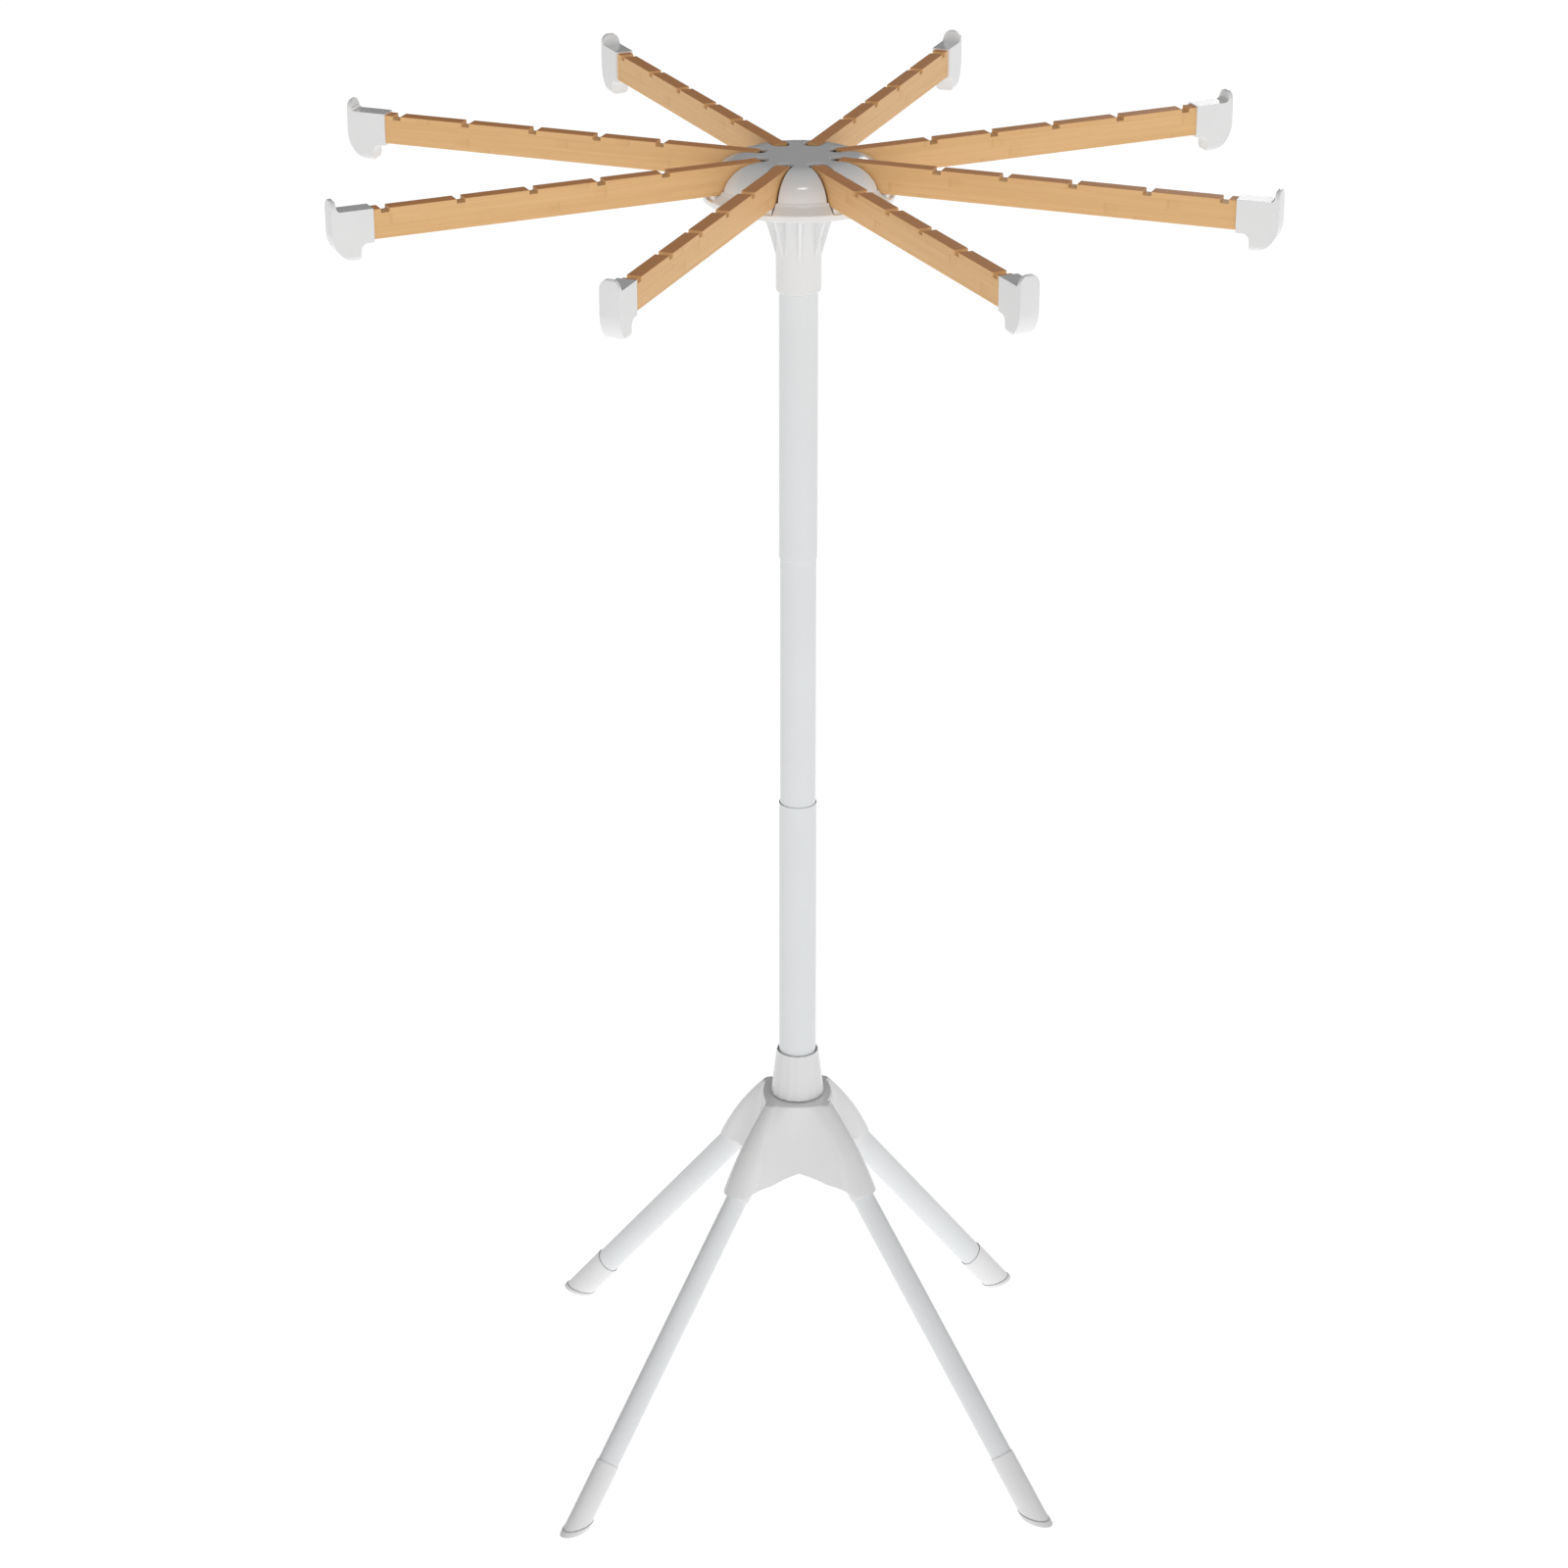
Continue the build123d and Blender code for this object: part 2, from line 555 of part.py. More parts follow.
def along_leg(height):
    """The distance along a leg's axis at which it comes down to a height."""
    return (LEG_PIVOT_Z - height) / math.cos(math.radians(LEG_LEAN))


def leg_socket():
    """The moulded knuckle of one leg: a tongue on the pin and a sleeve over the tube."""
    skin = 2 * SOCKET_SKIN
    sleeve = oval(LEG_LONG + skin, LEG_SHORT + skin, SOCKET_START, SOCKET_END)
    sleeve = fillet(sleeve.edges().group_by(Axis.Z)[0], SOCKET_EDGE_R)
    tongue = Box(2 * TONGUE_R, TONGUE_THICKNESS, LEG_TUBE_START, align=UP)
    eye = cross_pin(TONGUE_R, TONGUE_THICKNESS)
    knuckle = sleeve + tongue + eye - cross_pin(PIN_R + PIN_CLEARANCE, TONGUE_THICKNESS + OVERCUT)
    return knuckle - oval(LEG_LONG, LEG_SHORT, LEG_TUBE_START, SOCKET_END + OVERCUT)


def leg_tube():
    """One oval steel leg tube, cut level inside its foot."""
    end = LEG_LENGTH + LEG_OVERRUN
    tube = oval(LEG_LONG, LEG_SHORT, LEG_TUBE_START, end)
    tube -= oval(LEG_LONG - 2 * LEG_WALL, LEG_SHORT - 2 * LEG_WALL, LEG_TUBE_START - OVERCUT, end + OVERCUT)
    return on_leg(tube) - below_height(LEG_TUBE_END_Z)


def foot_sleeve():
    """The moulded boot over the lower end of a leg."""
    skin = 2 * FOOT_SLEEVE_SKIN
    end = LEG_LENGTH + LEG_OVERRUN
    boot = on_leg(oval(LEG_LONG + skin, LEG_SHORT + skin, along_leg(FOOT_SLEEVE_TOP_Z), end))
    boot -= on_leg(oval(LEG_LONG, LEG_SHORT, 0, end)) - below_height(LEG_TUBE_END_Z)
    return boot - below_height(PAD_HEIGHT)


def foot_pad():
    """The sole under a boot, level with the floor and a little proud of the boot."""
    slant = math.cos(math.radians(LEG_LEAN))
    long = (LEG_LONG + 2 * FOOT_SLEEVE_SKIN) / slant / 2 + PAD_OVERHANG
    short = LEG_SHORT / 2 + FOOT_SLEEVE_SKIN + PAD_OVERHANG
    centre = LEG_FLOOR_R - (PAD_HEIGHT - PAD_SEAM) * math.tan(math.radians(LEG_LEAN))
    sole = loft([
        Pos(LEG_FLOOR_R, 0, 0) * Ellipse(long, short),
        Pos(centre, 0, PAD_HEIGHT - PAD_SEAM) * Ellipse(long, short)])
    neck = extrude(Ellipse(long - PAD_NECK_INSET, short - PAD_NECK_INSET), PAD_SEAM)
    neck = Pos(centre, 0, PAD_HEIGHT - PAD_SEAM) * neck
    return sole + neck


def leg_rivet():
    """The rivet that holds a leg tube in its knuckle."""
    rivet = cross_pin(RIVET_R, LEG_SHORT + 2 * SOCKET_SKIN)
    return on_leg(Pos(0, 0, (LEG_TUBE_START + SOCKET_END) / 2) * rivet)


def write(name, shapes):
    """Save one named piece, or a group of like pieces, as a STEP file."""
    shapes = shapes if isinstance(shapes, list) else [shapes]
    solids = [solid for shape in shapes for solid in shape.solids()]
    export_step(Compound(children=solids), f"parts/{name}.step")


def main():
    os.makedirs("parts", exist_ok=True)
    singles = (
        base_hub, base_core, pole_bottom_plug, pole_collet, leg_pins, lower_tube, middle_tube, upper_tube,
        pole_top_plug, hub_washer, hub_screw, collar_nut, hub_body, hub_dome, hub_bush, arm_pins, dome_screws)
    for build in singles:
        write(build.__name__, build())

    rivet = leg_rivet()
    knuckle = on_leg(leg_socket()) - rivet
    tube = leg_tube() - rivet
    families = (
        ("arm", arm_plank(), ARM_FIRST_ANGLE, ARM_COUNT),
        ("arm_cap", arm_cap(), ARM_FIRST_ANGLE, ARM_COUNT),
        ("leg_socket", knuckle, LEG_FIRST_ANGLE, LEG_COUNT),
        ("leg_rivet", rivet, LEG_FIRST_ANGLE, LEG_COUNT),
        ("leg_tube", tube, LEG_FIRST_ANGLE, LEG_COUNT),
        ("foot_sleeve", foot_sleeve(), LEG_FIRST_ANGLE, LEG_COUNT),
        ("foot_pad", foot_pad(), LEG_FIRST_ANGLE, LEG_COUNT))
    for name, shape, first_angle, count in families:
        for i, copy in enumerate(turned(shape, first_angle, count), start=1):
            write(f"{name}_{i}", copy)


main()
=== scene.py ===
"""Looks of the rotary clothes airer: bamboo arms, white mouldings and coated steel tubes."""
import json
import logging
import math
from dataclasses import dataclass
from enum import Enum
from typing import Callable, Sequence

import bmesh
import bpy
from mathutils import Matrix, Vector


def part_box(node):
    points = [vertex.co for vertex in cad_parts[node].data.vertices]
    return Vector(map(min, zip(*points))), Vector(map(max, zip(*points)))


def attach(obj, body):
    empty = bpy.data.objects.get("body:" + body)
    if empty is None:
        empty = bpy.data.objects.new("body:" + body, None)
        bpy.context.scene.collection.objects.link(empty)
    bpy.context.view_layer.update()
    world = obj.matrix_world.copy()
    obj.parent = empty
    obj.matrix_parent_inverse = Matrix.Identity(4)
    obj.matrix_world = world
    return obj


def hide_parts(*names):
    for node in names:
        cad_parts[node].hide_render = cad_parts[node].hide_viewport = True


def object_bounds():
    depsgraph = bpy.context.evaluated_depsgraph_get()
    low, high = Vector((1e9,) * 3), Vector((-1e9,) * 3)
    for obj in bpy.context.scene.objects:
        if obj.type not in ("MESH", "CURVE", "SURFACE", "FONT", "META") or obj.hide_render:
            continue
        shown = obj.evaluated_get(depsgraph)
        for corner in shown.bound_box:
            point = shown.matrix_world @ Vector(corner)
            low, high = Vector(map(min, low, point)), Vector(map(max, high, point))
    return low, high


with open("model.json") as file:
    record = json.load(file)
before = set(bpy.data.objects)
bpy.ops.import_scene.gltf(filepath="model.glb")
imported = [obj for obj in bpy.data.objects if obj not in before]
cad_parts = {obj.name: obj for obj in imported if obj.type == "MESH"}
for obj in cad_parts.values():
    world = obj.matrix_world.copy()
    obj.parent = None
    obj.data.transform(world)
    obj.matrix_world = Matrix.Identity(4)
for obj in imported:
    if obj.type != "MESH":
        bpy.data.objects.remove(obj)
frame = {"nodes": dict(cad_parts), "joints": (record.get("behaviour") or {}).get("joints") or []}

MM = 0.001
CAD_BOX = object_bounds()
ARM_COUNT = 8
LEG_COUNT = 4
HOLE_STEPS = 24
ROOMY = 0.2

Number = "float | Sock"
Colour = tuple[float, float, float, float]
Point = tuple[float, float]

log = logging.getLogger("airer")


def grey(level: float) -> Colour:
    """An opaque neutral colour."""
    return (level, level, level, 1.0)


def placed(name: str, data: bpy.types.ID) -> bpy.types.Object:
    """A new object of the scene that shows a mesh, lamp or camera."""
    made = bpy.data.objects.new(name, data)
    bpy.context.scene.collection.objects.link(made)
    return made


def direction(azimuth: float, elevation: float) -> Vector:
    """The way from the airer to something in degrees right of the front and above the horizon."""
    around, up = math.radians(azimuth), math.radians(elevation)
    return Vector((math.sin(around) * math.cos(up), -math.cos(around) * math.cos(up), math.sin(up)))


def joint_place(name: str) -> Vector:
    """The point that a joint of the frame turns about."""
    return Vector(next(joint["pos_m"] for joint in frame["joints"] if joint["name"] == name))


# ---- finishes

class Slot(Enum):
    """The material slots of the record."""

    MOULDING = "white_moulding"
    STEEL = "white_steel"
    BAMBOO = "bamboo"
    INNER = "inner_plastic"
    FIXINGS = "steel_fixings"
    SOLE = "sole"


class Sock:
    """An output of a shader node, with Python's arithmetic on it."""

    def __init__(self, shader: "Shader", socket: bpy.types.NodeSocket) -> None:
        """Remember the socket and the shader that it belongs to."""
        self.shader = shader
        self.socket = socket

    def _math(self, operation: str, first: Number, second: Number = 0.0) -> "Sock":
        """One Math node on two values."""
        return self.shader.node("ShaderNodeMath", {"operation": operation}, {0: first, 1: second})

    def __add__(self, other: Number) -> "Sock":
        """The sum."""
        return self._math("ADD", self, other)

    def __sub__(self, other: Number) -> "Sock":
        """The difference."""
        return self._math("SUBTRACT", self, other)

    def __rsub__(self, other: Number) -> "Sock":
        """The difference, with this value taken away."""
        return self._math("SUBTRACT", other, self)

    def __mul__(self, other: Number) -> "Sock":
        """The product."""
        return self._math("MULTIPLY", self, other)

    def __truediv__(self, other: Number) -> "Sock":
        """The quotient."""
        return self._math("DIVIDE", self, other)

    def __abs__(self) -> "Sock":
        """The size without its sign."""
        return self._math("ABSOLUTE", self)

    __radd__ = __add__
    __rmul__ = __mul__

    def floor(self) -> "Sock":
        """The whole number below."""
        return self._math("FLOOR", self)

    def fraction(self) -> "Sock":
        """What is left above the whole number below."""
        return self._math("FRACT", self)

    def rise(self, low: float, high: float) -> "Sock":
        """A smooth step from 0 at low to 1 at high."""
        return self.shader.fall(self, low, high, 0.0, 1.0)


class Shader:
    """The node tree of a material or world, built one expression at a time."""

    def __init__(self, owner: bpy.types.Material | bpy.types.World) -> None:
        """Start with an empty tree."""
        owner.use_nodes = True
        self.owner, self.tree = owner, owner.node_tree
        self.tree.nodes.clear()

    @classmethod
    def named(cls, name: str) -> "Shader":
        """Start an empty node material."""
        return cls(bpy.data.materials.new(name))

    def node(self, kind: str, settings: dict, inputs: dict, output: int | str = 0) -> Sock:
        """Add a node.

        Args:
            kind: The node's type.
            settings: Properties of the node, which are set first.
            inputs: Values or links of its sockets, by name or number.
            output: The output that is wanted.

        Returns:
            That output.
        """
        made = self.tree.nodes.new(kind)
        for name, value in settings.items():
            setattr(made, name, value)
        for key, value in inputs.items():
            if isinstance(value, Sock):
                self.tree.links.new(value.socket, made.inputs[key])
            else:
                made.inputs[key].default_value = value
        return Sock(self, made.outputs[output])

    def fall(self, value: Sock, start: float, end: float, low: float, high: float) -> Sock:
        """A smooth step from low at start to high at end."""
        return self.node("ShaderNodeMapRange", {"interpolation_type": "SMOOTHSTEP"}, {
            "Value": value, "From Min": start, "From Max": end, "To Min": low, "To Max": high})

    def place(self) -> Sock:
        """Object coordinates."""
        return self.node("ShaderNodeTexCoord", {}, {}, "Object")

    def parts(self, vector: Sock) -> tuple[Sock, Sock, Sock]:
        """The three numbers of a vector."""
        split = self.node("ShaderNodeSeparateXYZ", {}, {0: vector})
        return tuple(Sock(self, socket) for socket in split.socket.node.outputs)

    def vector(self, x: Number, y: Number, z: Number) -> Sock:
        """A vector from three numbers."""
        return self.node("ShaderNodeCombineXYZ", {}, {0: x, 1: y, 2: z})

    def noise(self, place: Sock, scale: float, detail: float = 2.0) -> Sock:
        """Cloudy noise from 0 to 1, with its scale in cells a metre."""
        return self.node("ShaderNodeTexNoise", {}, {"Vector": place, "Scale": scale, "Detail": detail})

    def chance(self, value: Sock) -> Sock:
        """A random number from 0 to 1 for each whole value."""
        return self.node("ShaderNodeTexWhiteNoise", {"noise_dimensions": "1D"}, {"W": value})

    def blend(self, factor: Number, first: Colour | Sock, second: Colour | Sock) -> Sock:
        """A colour between two others."""
        return self.node("ShaderNodeMix", {"data_type": "RGBA"}, {0: factor, 6: first, 7: second}, 2)

    def bump(self, height: Sock, depth: float) -> Sock:
        """A normal from a height of 0 to 1 that stands for a depth in metres."""
        return self.node("ShaderNodeBump", {}, {"Height": height, "Distance": depth})

    def surface(self, inputs: dict) -> bpy.types.Material:
        """Close the tree with a principled surface.

        Args:
            inputs: Values or links of the surface's sockets.

        Returns:
            The finished material.
        """
        self.close(self.node("ShaderNodeBsdfPrincipled", {}, inputs), "ShaderNodeOutputMaterial")
        return self.owner

    def close(self, shade: Sock, kind: str) -> None:
        """Link the last shader to an output of a kind."""
        output = self.tree.nodes.new(kind)
        self.tree.links.new(shade.socket, output.inputs["Surface"])


@dataclass(frozen=True)
class Moulding:
    """Injection-moulded plastic with slow flow waves and a fine spark texture."""

    name: str
    colour: Colour
    shade: Colour
    roughness: float
    gloss: float = 0.5
    texture: float = 0.003 * MM
    wave: float = 0.04 * MM

    def made(self) -> bpy.types.Material:
        """Build the material."""
        shader = Shader.named(self.name)
        place = shader.place()
        cloud = shader.noise(place, 14, 3)
        spark = shader.noise(place, 1400, 1)
        height = shader.noise(place, 28, 1) * (self.wave / self.texture) + spark
        return shader.surface({
            "Base Color": shader.blend(cloud.rise(0.35, 0.75), self.colour, self.shade),
            "Roughness": self.roughness + 0.06 * (cloud - 0.5) + 0.04 * (spark - 0.5),
            "Normal": shader.bump(height, self.texture),
            "Specular IOR Level": self.gloss,
        })


@dataclass(frozen=True)
class CoatedSteel:
    """Powder-coated steel tube: glossy, with the orange peel of a baked coat."""

    name: str
    colour: Colour = (0.865, 0.885, 0.895, 1.0)
    shade: Colour = (0.84, 0.86, 0.87, 1.0)
    roughness: float = 0.12
    peel: float = 0.008 * MM

    def made(self) -> bpy.types.Material:
        """Build the material."""
        shader = Shader.named(self.name)
        place = shader.place()
        cloud = shader.noise(place, 9, 2)
        peel = shader.noise(place, 330, 1)
        return shader.surface({
            "Base Color": shader.blend(cloud.rise(0.3, 0.8), self.colour, self.shade),
            "Roughness": self.roughness + 0.05 * (cloud - 0.5) + 0.03 * (peel - 0.5),
            "Normal": shader.bump(peel, self.peel),
        })


@dataclass(frozen=True)
class Bamboo:
    """Laminated bamboo: glued strips, long fibres, faint knuckles, and painted shade that darkens the top
    face.
    """

    name: str
    top: float
    pale: Colour = (0.90, 0.565, 0.27, 1.0)
    warm: Colour = (0.80, 0.475, 0.205, 1.0)
    brown: Colour = (0.42, 0.205, 0.075, 1.0)
    # Painted shade: the dark brown laid on the top face stands in for the dimmer light that upward faces
    # get.
    top_shade_colour: Colour = (0.785, 0.352, 0.140, 1.0)
    strip_height: float = 9.4 * MM
    strip_width: float = 7.1 * MM
    knuckle_pitch: float = 0.21
    knuckle: float = 1.5 * MM
    seam: float = 0.25 * MM
    relief: float = 0.03 * MM

    def made(self) -> bpy.types.Material:
        """Build the material, whose pattern follows the attribute named grain."""
        shader = Shader.named(self.name)
        grain = shader.node("ShaderNodeAttribute", {"attribute_name": "grain"}, {}, "Vector")
        along, across, up = shader.parts(grain)
        course = up / self.strip_height
        layer = across / self.strip_width
        strip = course.floor() * 7 + layer.floor() * 19 + along.floor() * 41
        tone = shader.chance(strip)
        lot = shader.chance(strip + 500)
        fibre = shader.noise(shader.vector(along * 13 + lot * 9, across * 900, up * 900 + lot * 40), 1, 3)
        streak = shader.noise(shader.vector(along * 5 + tone * 7, across * 240, up * 240 + tone * 30), 1, 2)
        pore = shader.noise(shader.vector(along * 60, across * 2600, up * 2600), 1, 0).rise(0.68, 0.8)
        step = (along / self.knuckle_pitch + lot * 5).fraction()
        near = 1 - (abs(step - 0.5) * self.knuckle_pitch).rise(self.knuckle * 0.3, self.knuckle * 1.6)
        glow = 1 - (abs(step - 0.53) * self.knuckle_pitch).rise(self.knuckle, self.knuckle * 7)
        edge = (abs(course.fraction() - 0.5) * self.strip_height).rise(
            self.strip_height / 2 - self.seam, self.strip_height / 2)
        warmth = 0.28 * tone + 0.45 * streak.rise(0.3, 0.75) + 0.35 * (fibre - 0.5) + 0.22 * glow
        # Painted shade: a mask over the top face and the top of its rounded edge, where the darker colour
        # stands in for shade.
        top_shade_mask = up.rise(self.top - 0.5 * MM, self.top - 0.2 * MM)
        colour = shader.blend(0.9 * top_shade_mask, shader.blend(warmth, self.pale, self.warm), self.top_shade_colour)
        # The darkening mixes real marks (knuckles, pores, strip seams, fibres) with a little more painted
        # shade on the top face.
        dark = 0.04 * top_shade_mask + 0.13 * near + 0.12 * pore + 0.10 * edge + 0.12 * fibre.rise(0.55, 0.8)
        height = fibre + 0.5 * streak - 0.6 * pore + 0.8 * near - 0.7 * edge
        return shader.surface({
            "Base Color": shader.blend(dark, colour, self.brown),
            "Roughness": 0.46 + 0.16 * (fibre - 0.5) + 0.1 * near,
            "Specular IOR Level": 0.2,
            "Normal": shader.bump(height, self.relief),
        })


@dataclass(frozen=True)
class ZincSteel:
    """Bright zinc-plated steel with fine draw marks."""

    name: str
    bright: Colour = (0.62, 0.63, 0.64, 1.0)
    dull: Colour = (0.47, 0.47, 0.46, 1.0)

    def made(self) -> bpy.types.Material:
        """Build the material."""
        shader = Shader.named(self.name)
        place = shader.place()
        bloom = shader.noise(place, 220, 4)
        x, y, z = shader.parts(place)
        draw = shader.noise(shader.vector(x * 2400, y * 2400, z * 90), 1, 1)
        return shader.surface({
            "Base Color": shader.blend(bloom.rise(0.35, 0.7), self.bright, self.dull),
            "Metallic": 1.0,
            "Roughness": 0.28 + 0.22 * bloom + 0.08 * (draw - 0.5),
            "Normal": shader.bump(draw, 0.008 * MM),
        })


@dataclass(frozen=True)
class Coat:
    """A made finish and the slot of the record that it belongs to."""

    material: bpy.types.Material
    slot: Slot


@dataclass(frozen=True)
class Finishes:
    """All the airer's finishes."""

    moulding: Coat
    steel: Coat
    bamboo: Coat
    inner: Coat
    fixings: Coat
    sole: Coat

    @classmethod
    def made(cls) -> "Finishes":
        """Build every finish once."""
        white = Moulding("satin_white_moulding", grey(0.89), grey(0.87), 0.13)
        inner = Moulding("matt_inner_plastic", grey(0.70), grey(0.64), 0.5, 0.4)
        sole = Moulding("pale_sole_rubber", grey(0.87), grey(0.845), 0.36)
        return cls(
            moulding=Coat(white.made(), Slot.MOULDING),
            steel=Coat(CoatedSteel("white_coated_steel").made(), Slot.STEEL),
            bamboo=Coat(Bamboo("laminated_bamboo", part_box("arm_1")[1].z).made(), Slot.BAMBOO),
            inner=Coat(inner.made(), Slot.INNER),
            fixings=Coat(ZincSteel("zinc_steel").made(), Slot.FIXINGS),
            sole=Coat(sole.made(), Slot.SOLE),
        )


# ---- shapes

def outline(corners: Sequence[tuple[float, float, float]], segments: int = 6) -> list[Point]:
    """The points of a closed outline with rounded corners.

    Args:
        corners: Each corner's two coordinates and its radius, in order.
        segments: How many chords make a rounded corner.

    Returns:
        The outline's points.
    """
    points = []
    for i, (x, y, radius) in enumerate(corners):
        here = Vector((x, y))
        if not radius:
            points.append((x, y))
            continue
        before = (Vector(corners[i - 1][:2]) - here).normalized()
        after = (Vector(corners[(i + 1) % len(corners)][:2]) - here).normalized()
        half = before.angle(after) / 2
        centre = here + (before + after).normalized() * (radius / math.sin(half))
        first = here + before * (radius / math.tan(half)) - centre
        turn = math.pi - 2 * half
        if before.x * after.y - before.y * after.x > 0:
            turn = -turn
        for k in range(segments + 1):
            angle = turn * k / segments
            cos, sin = math.cos(angle), math.sin(angle)
            x, y = first.x * cos - first.y * sin, first.x * sin + first.y * cos
            points.append((centre.x + x, centre.y + y))
    return points


def about_pole(angle: float) -> Matrix:
    """A turn about the pole."""
    return Matrix.Rotation(angle, 4, "Z")


class Join(Enum):
    """How one shape acts on another."""

    ADD = "UNION"
    CUT = "DIFFERENCE"
    KEEP = "INTERSECT"


def only(items: Sequence, kind: type) -> list:
    """The items of one kind."""
    return [item for item in items if isinstance(item, kind)]


class Form:
    """A shape under construction, in metres, that ends as a named piece."""

    def __init__(self) -> None:
        """Start with nothing."""
        self.bm = bmesh.new()

    @classmethod
    def spun(cls, profile: Sequence[Point], steps: int, start: float = 0.0) -> "Form":
        """A solid turned about the pole's axis.

        Args:
            profile: A closed outline of radius and height.
            steps: How many steps make the full turn.
            start: The angle of the first step.

        Returns:
            The solid.
        """
        form = cls()
        verts = [form.bm.verts.new((radius, 0, height)) for radius, height in profile]
        edges = [form.bm.edges.new(pair) for pair in zip(verts, verts[1:] + verts[:1])]
        bmesh.ops.spin(
            form.bm, geom=verts + edges, cent=(0, 0, 0), axis=(0, 0, 1), dvec=(0, 0, 0),
            angle=math.tau, steps=steps, use_merge=True, use_duplicate=False)
        return form.moved(about_pole(start)).tidied()

    @classmethod
    def slab(cls, points: Sequence[Point], thickness: float) -> "Form":
        """A flat outline in the upright plane of X and Z, given a thickness along Y.

        Args:
            points: The outline's points.
            thickness: Its thickness, half of it each side of the plane.

        Returns:
            The solid.
        """
        form = cls()
        face = form.bm.faces.new([form.bm.verts.new((x, -thickness / 2, z)) for x, z in points])
        made = bmesh.ops.extrude_face_region(form.bm, geom=[face])
        bmesh.ops.translate(form.bm, verts=only(made["geom"], bmesh.types.BMVert), vec=(0, thickness, 0))
        return form.tidied()

    @classmethod
    def block(cls, low: Vector, high: Vector) -> "Form":
        """A box between two corners."""
        form = cls()
        size = Matrix.Diagonal((high - low).to_4d())
        bmesh.ops.create_cube(form.bm, size=1, matrix=Matrix.Translation((low + high) / 2) @ size)
        return form

    @classmethod
    def bar(cls, long: float, short: float, start: float, end: float, steps: int = 48) -> "Form":
        """A closed oval bar along Z.

        Args:
            long: Its width along X.
            short: Its width along Y.
            start: Where it starts along Z.
            end: Where it ends along Z.
            steps: How many sides the oval has.

        Returns:
            The solid.
        """
        form = cls()
        size = Matrix.Diagonal((long / 2, short / 2, end - start, 1))
        place = Matrix.Translation((0, 0, (start + end) / 2))
        bmesh.ops.create_cone(
            form.bm, cap_ends=True, segments=steps, radius1=1, radius2=1, depth=1, matrix=place @ size)
        return form

    @classmethod
    def pin(cls, width: float, reach: float) -> "Form":
        """A round pin along Y, for cutting a hole."""
        return cls.bar(width, width, -reach, reach, HOLE_STEPS).moved(Matrix.Rotation(math.pi / 2, 4, "X"))

    @classmethod
    def sheet(cls, columns: int, rows: int, place: Callable[[int, int], Vector]) -> "Form":
        """A grid whose points are laid on a surface.

        Args:
            columns: How many faces lie along the first direction.
            rows: How many faces lie along the second direction.
            place: Gives the position of the point at a column and row.

        Returns:
            The open sheet.
        """
        form = cls()
        bmesh.ops.create_grid(form.bm, x_segments=columns, y_segments=rows, size=1)
        for vert in form.bm.verts:
            column, row = (vert.co.x + 1) / 2 * columns, (vert.co.y + 1) / 2 * rows
            vert.co = place(round(column), round(row))
        return form

    def moved(self, matrix: Matrix) -> "Form":
        """Carry the shape by a matrix."""
        bmesh.ops.transform(self.bm, matrix=matrix, verts=self.bm.verts)
        return self

    def tidied(self) -> "Form":
        """Merge doubled points and turn every face outwards."""
        bmesh.ops.remove_doubles(self.bm, verts=self.bm.verts, dist=0.002 * MM)
        bmesh.ops.recalc_face_normals(self.bm, faces=self.bm.faces)
        return self

    def around(self, count: int, first: float = 0.0) -> "Form":
        """This shape repeated evenly about the pole.

        Args:
            count: How many copies there are in all.
            first: The angle of the first one.

        Returns:
            The shape with its copies.
        """
        geometry = self.moved(about_pole(first)).geometry()
        for i in range(1, count):
            made = bmesh.ops.duplicate(self.bm, geom=geometry)["geom"]
            turn = about_pole(math.tau / count * i).to_3x3()
            bmesh.ops.rotate(self.bm, verts=only(made, bmesh.types.BMVert), cent=(0, 0, 0), matrix=turn)
        return self

    def geometry(self) -> list:
        """All the shape's points, edges and faces."""
        return [*self.bm.verts, *self.bm.edges, *self.bm.faces]

    def below_cut(self, height: float) -> "Form":
        """Take away what lies below a level and close the cut."""
        made = bmesh.ops.bisect_plane(
            self.bm, geom=self.geometry(), plane_co=(0, 0, height), plane_no=(0, 0, 1), clear_inner=True)
        bmesh.ops.edgeloop_fill(self.bm, edges=only(made["geom_cut"], bmesh.types.BMEdge))
        return self.tidied()

    def to_object(self) -> bpy.types.Object:
        """Hand the shape over to a new object in the scene."""
        mesh = bpy.data.meshes.new("form")
        self.bm.to_mesh(mesh)
        self.bm.free()
        return placed("form", mesh)

    def from_object(self, source: bpy.types.Object) -> None:
        """Read the shape back from an object with its modifiers, and drop the object."""
        bpy.context.view_layer.update()
        depsgraph = bpy.context.evaluated_depsgraph_get()
        result = bpy.data.meshes.new_from_object(source.evaluated_get(depsgraph))
        self.bm = bmesh.new()
        self.bm.from_mesh(result)
        bpy.data.meshes.remove(result)
        bpy.data.meshes.remove(source.data)

    def joined(self, other: "Form", how: Join) -> "Form":
        """Add, cut or keep what another shape covers.

        Args:
            other: The other shape, which is used up.
            how: What to do with it.

        Returns:
            This shape, changed.
        """
        base, tool = self.to_object(), other.to_object()
        modifier = base.modifiers.new("join", "BOOLEAN")
        modifier.operation, modifier.object, modifier.solver = how.value, tool, "EXACT"
        self.from_object(base)
        bpy.data.meshes.remove(tool.data)
        bmesh.ops.remove_doubles(self.bm, verts=self.bm.verts, dist=0.01 * MM)
        bmesh.ops.dissolve_degenerate(self.bm, edges=self.bm.edges, dist=0.01 * MM)
        return self

    def walled(self, thickness: float) -> "Form":
        """Give an open sheet a wall of even thickness on its inner side."""
        source = self.to_object()
        modifier = source.modifiers.new("wall", "SOLIDIFY")
        modifier.thickness, modifier.offset, modifier.use_even_offset = thickness, -1, True
        self.from_object(source)
        return self

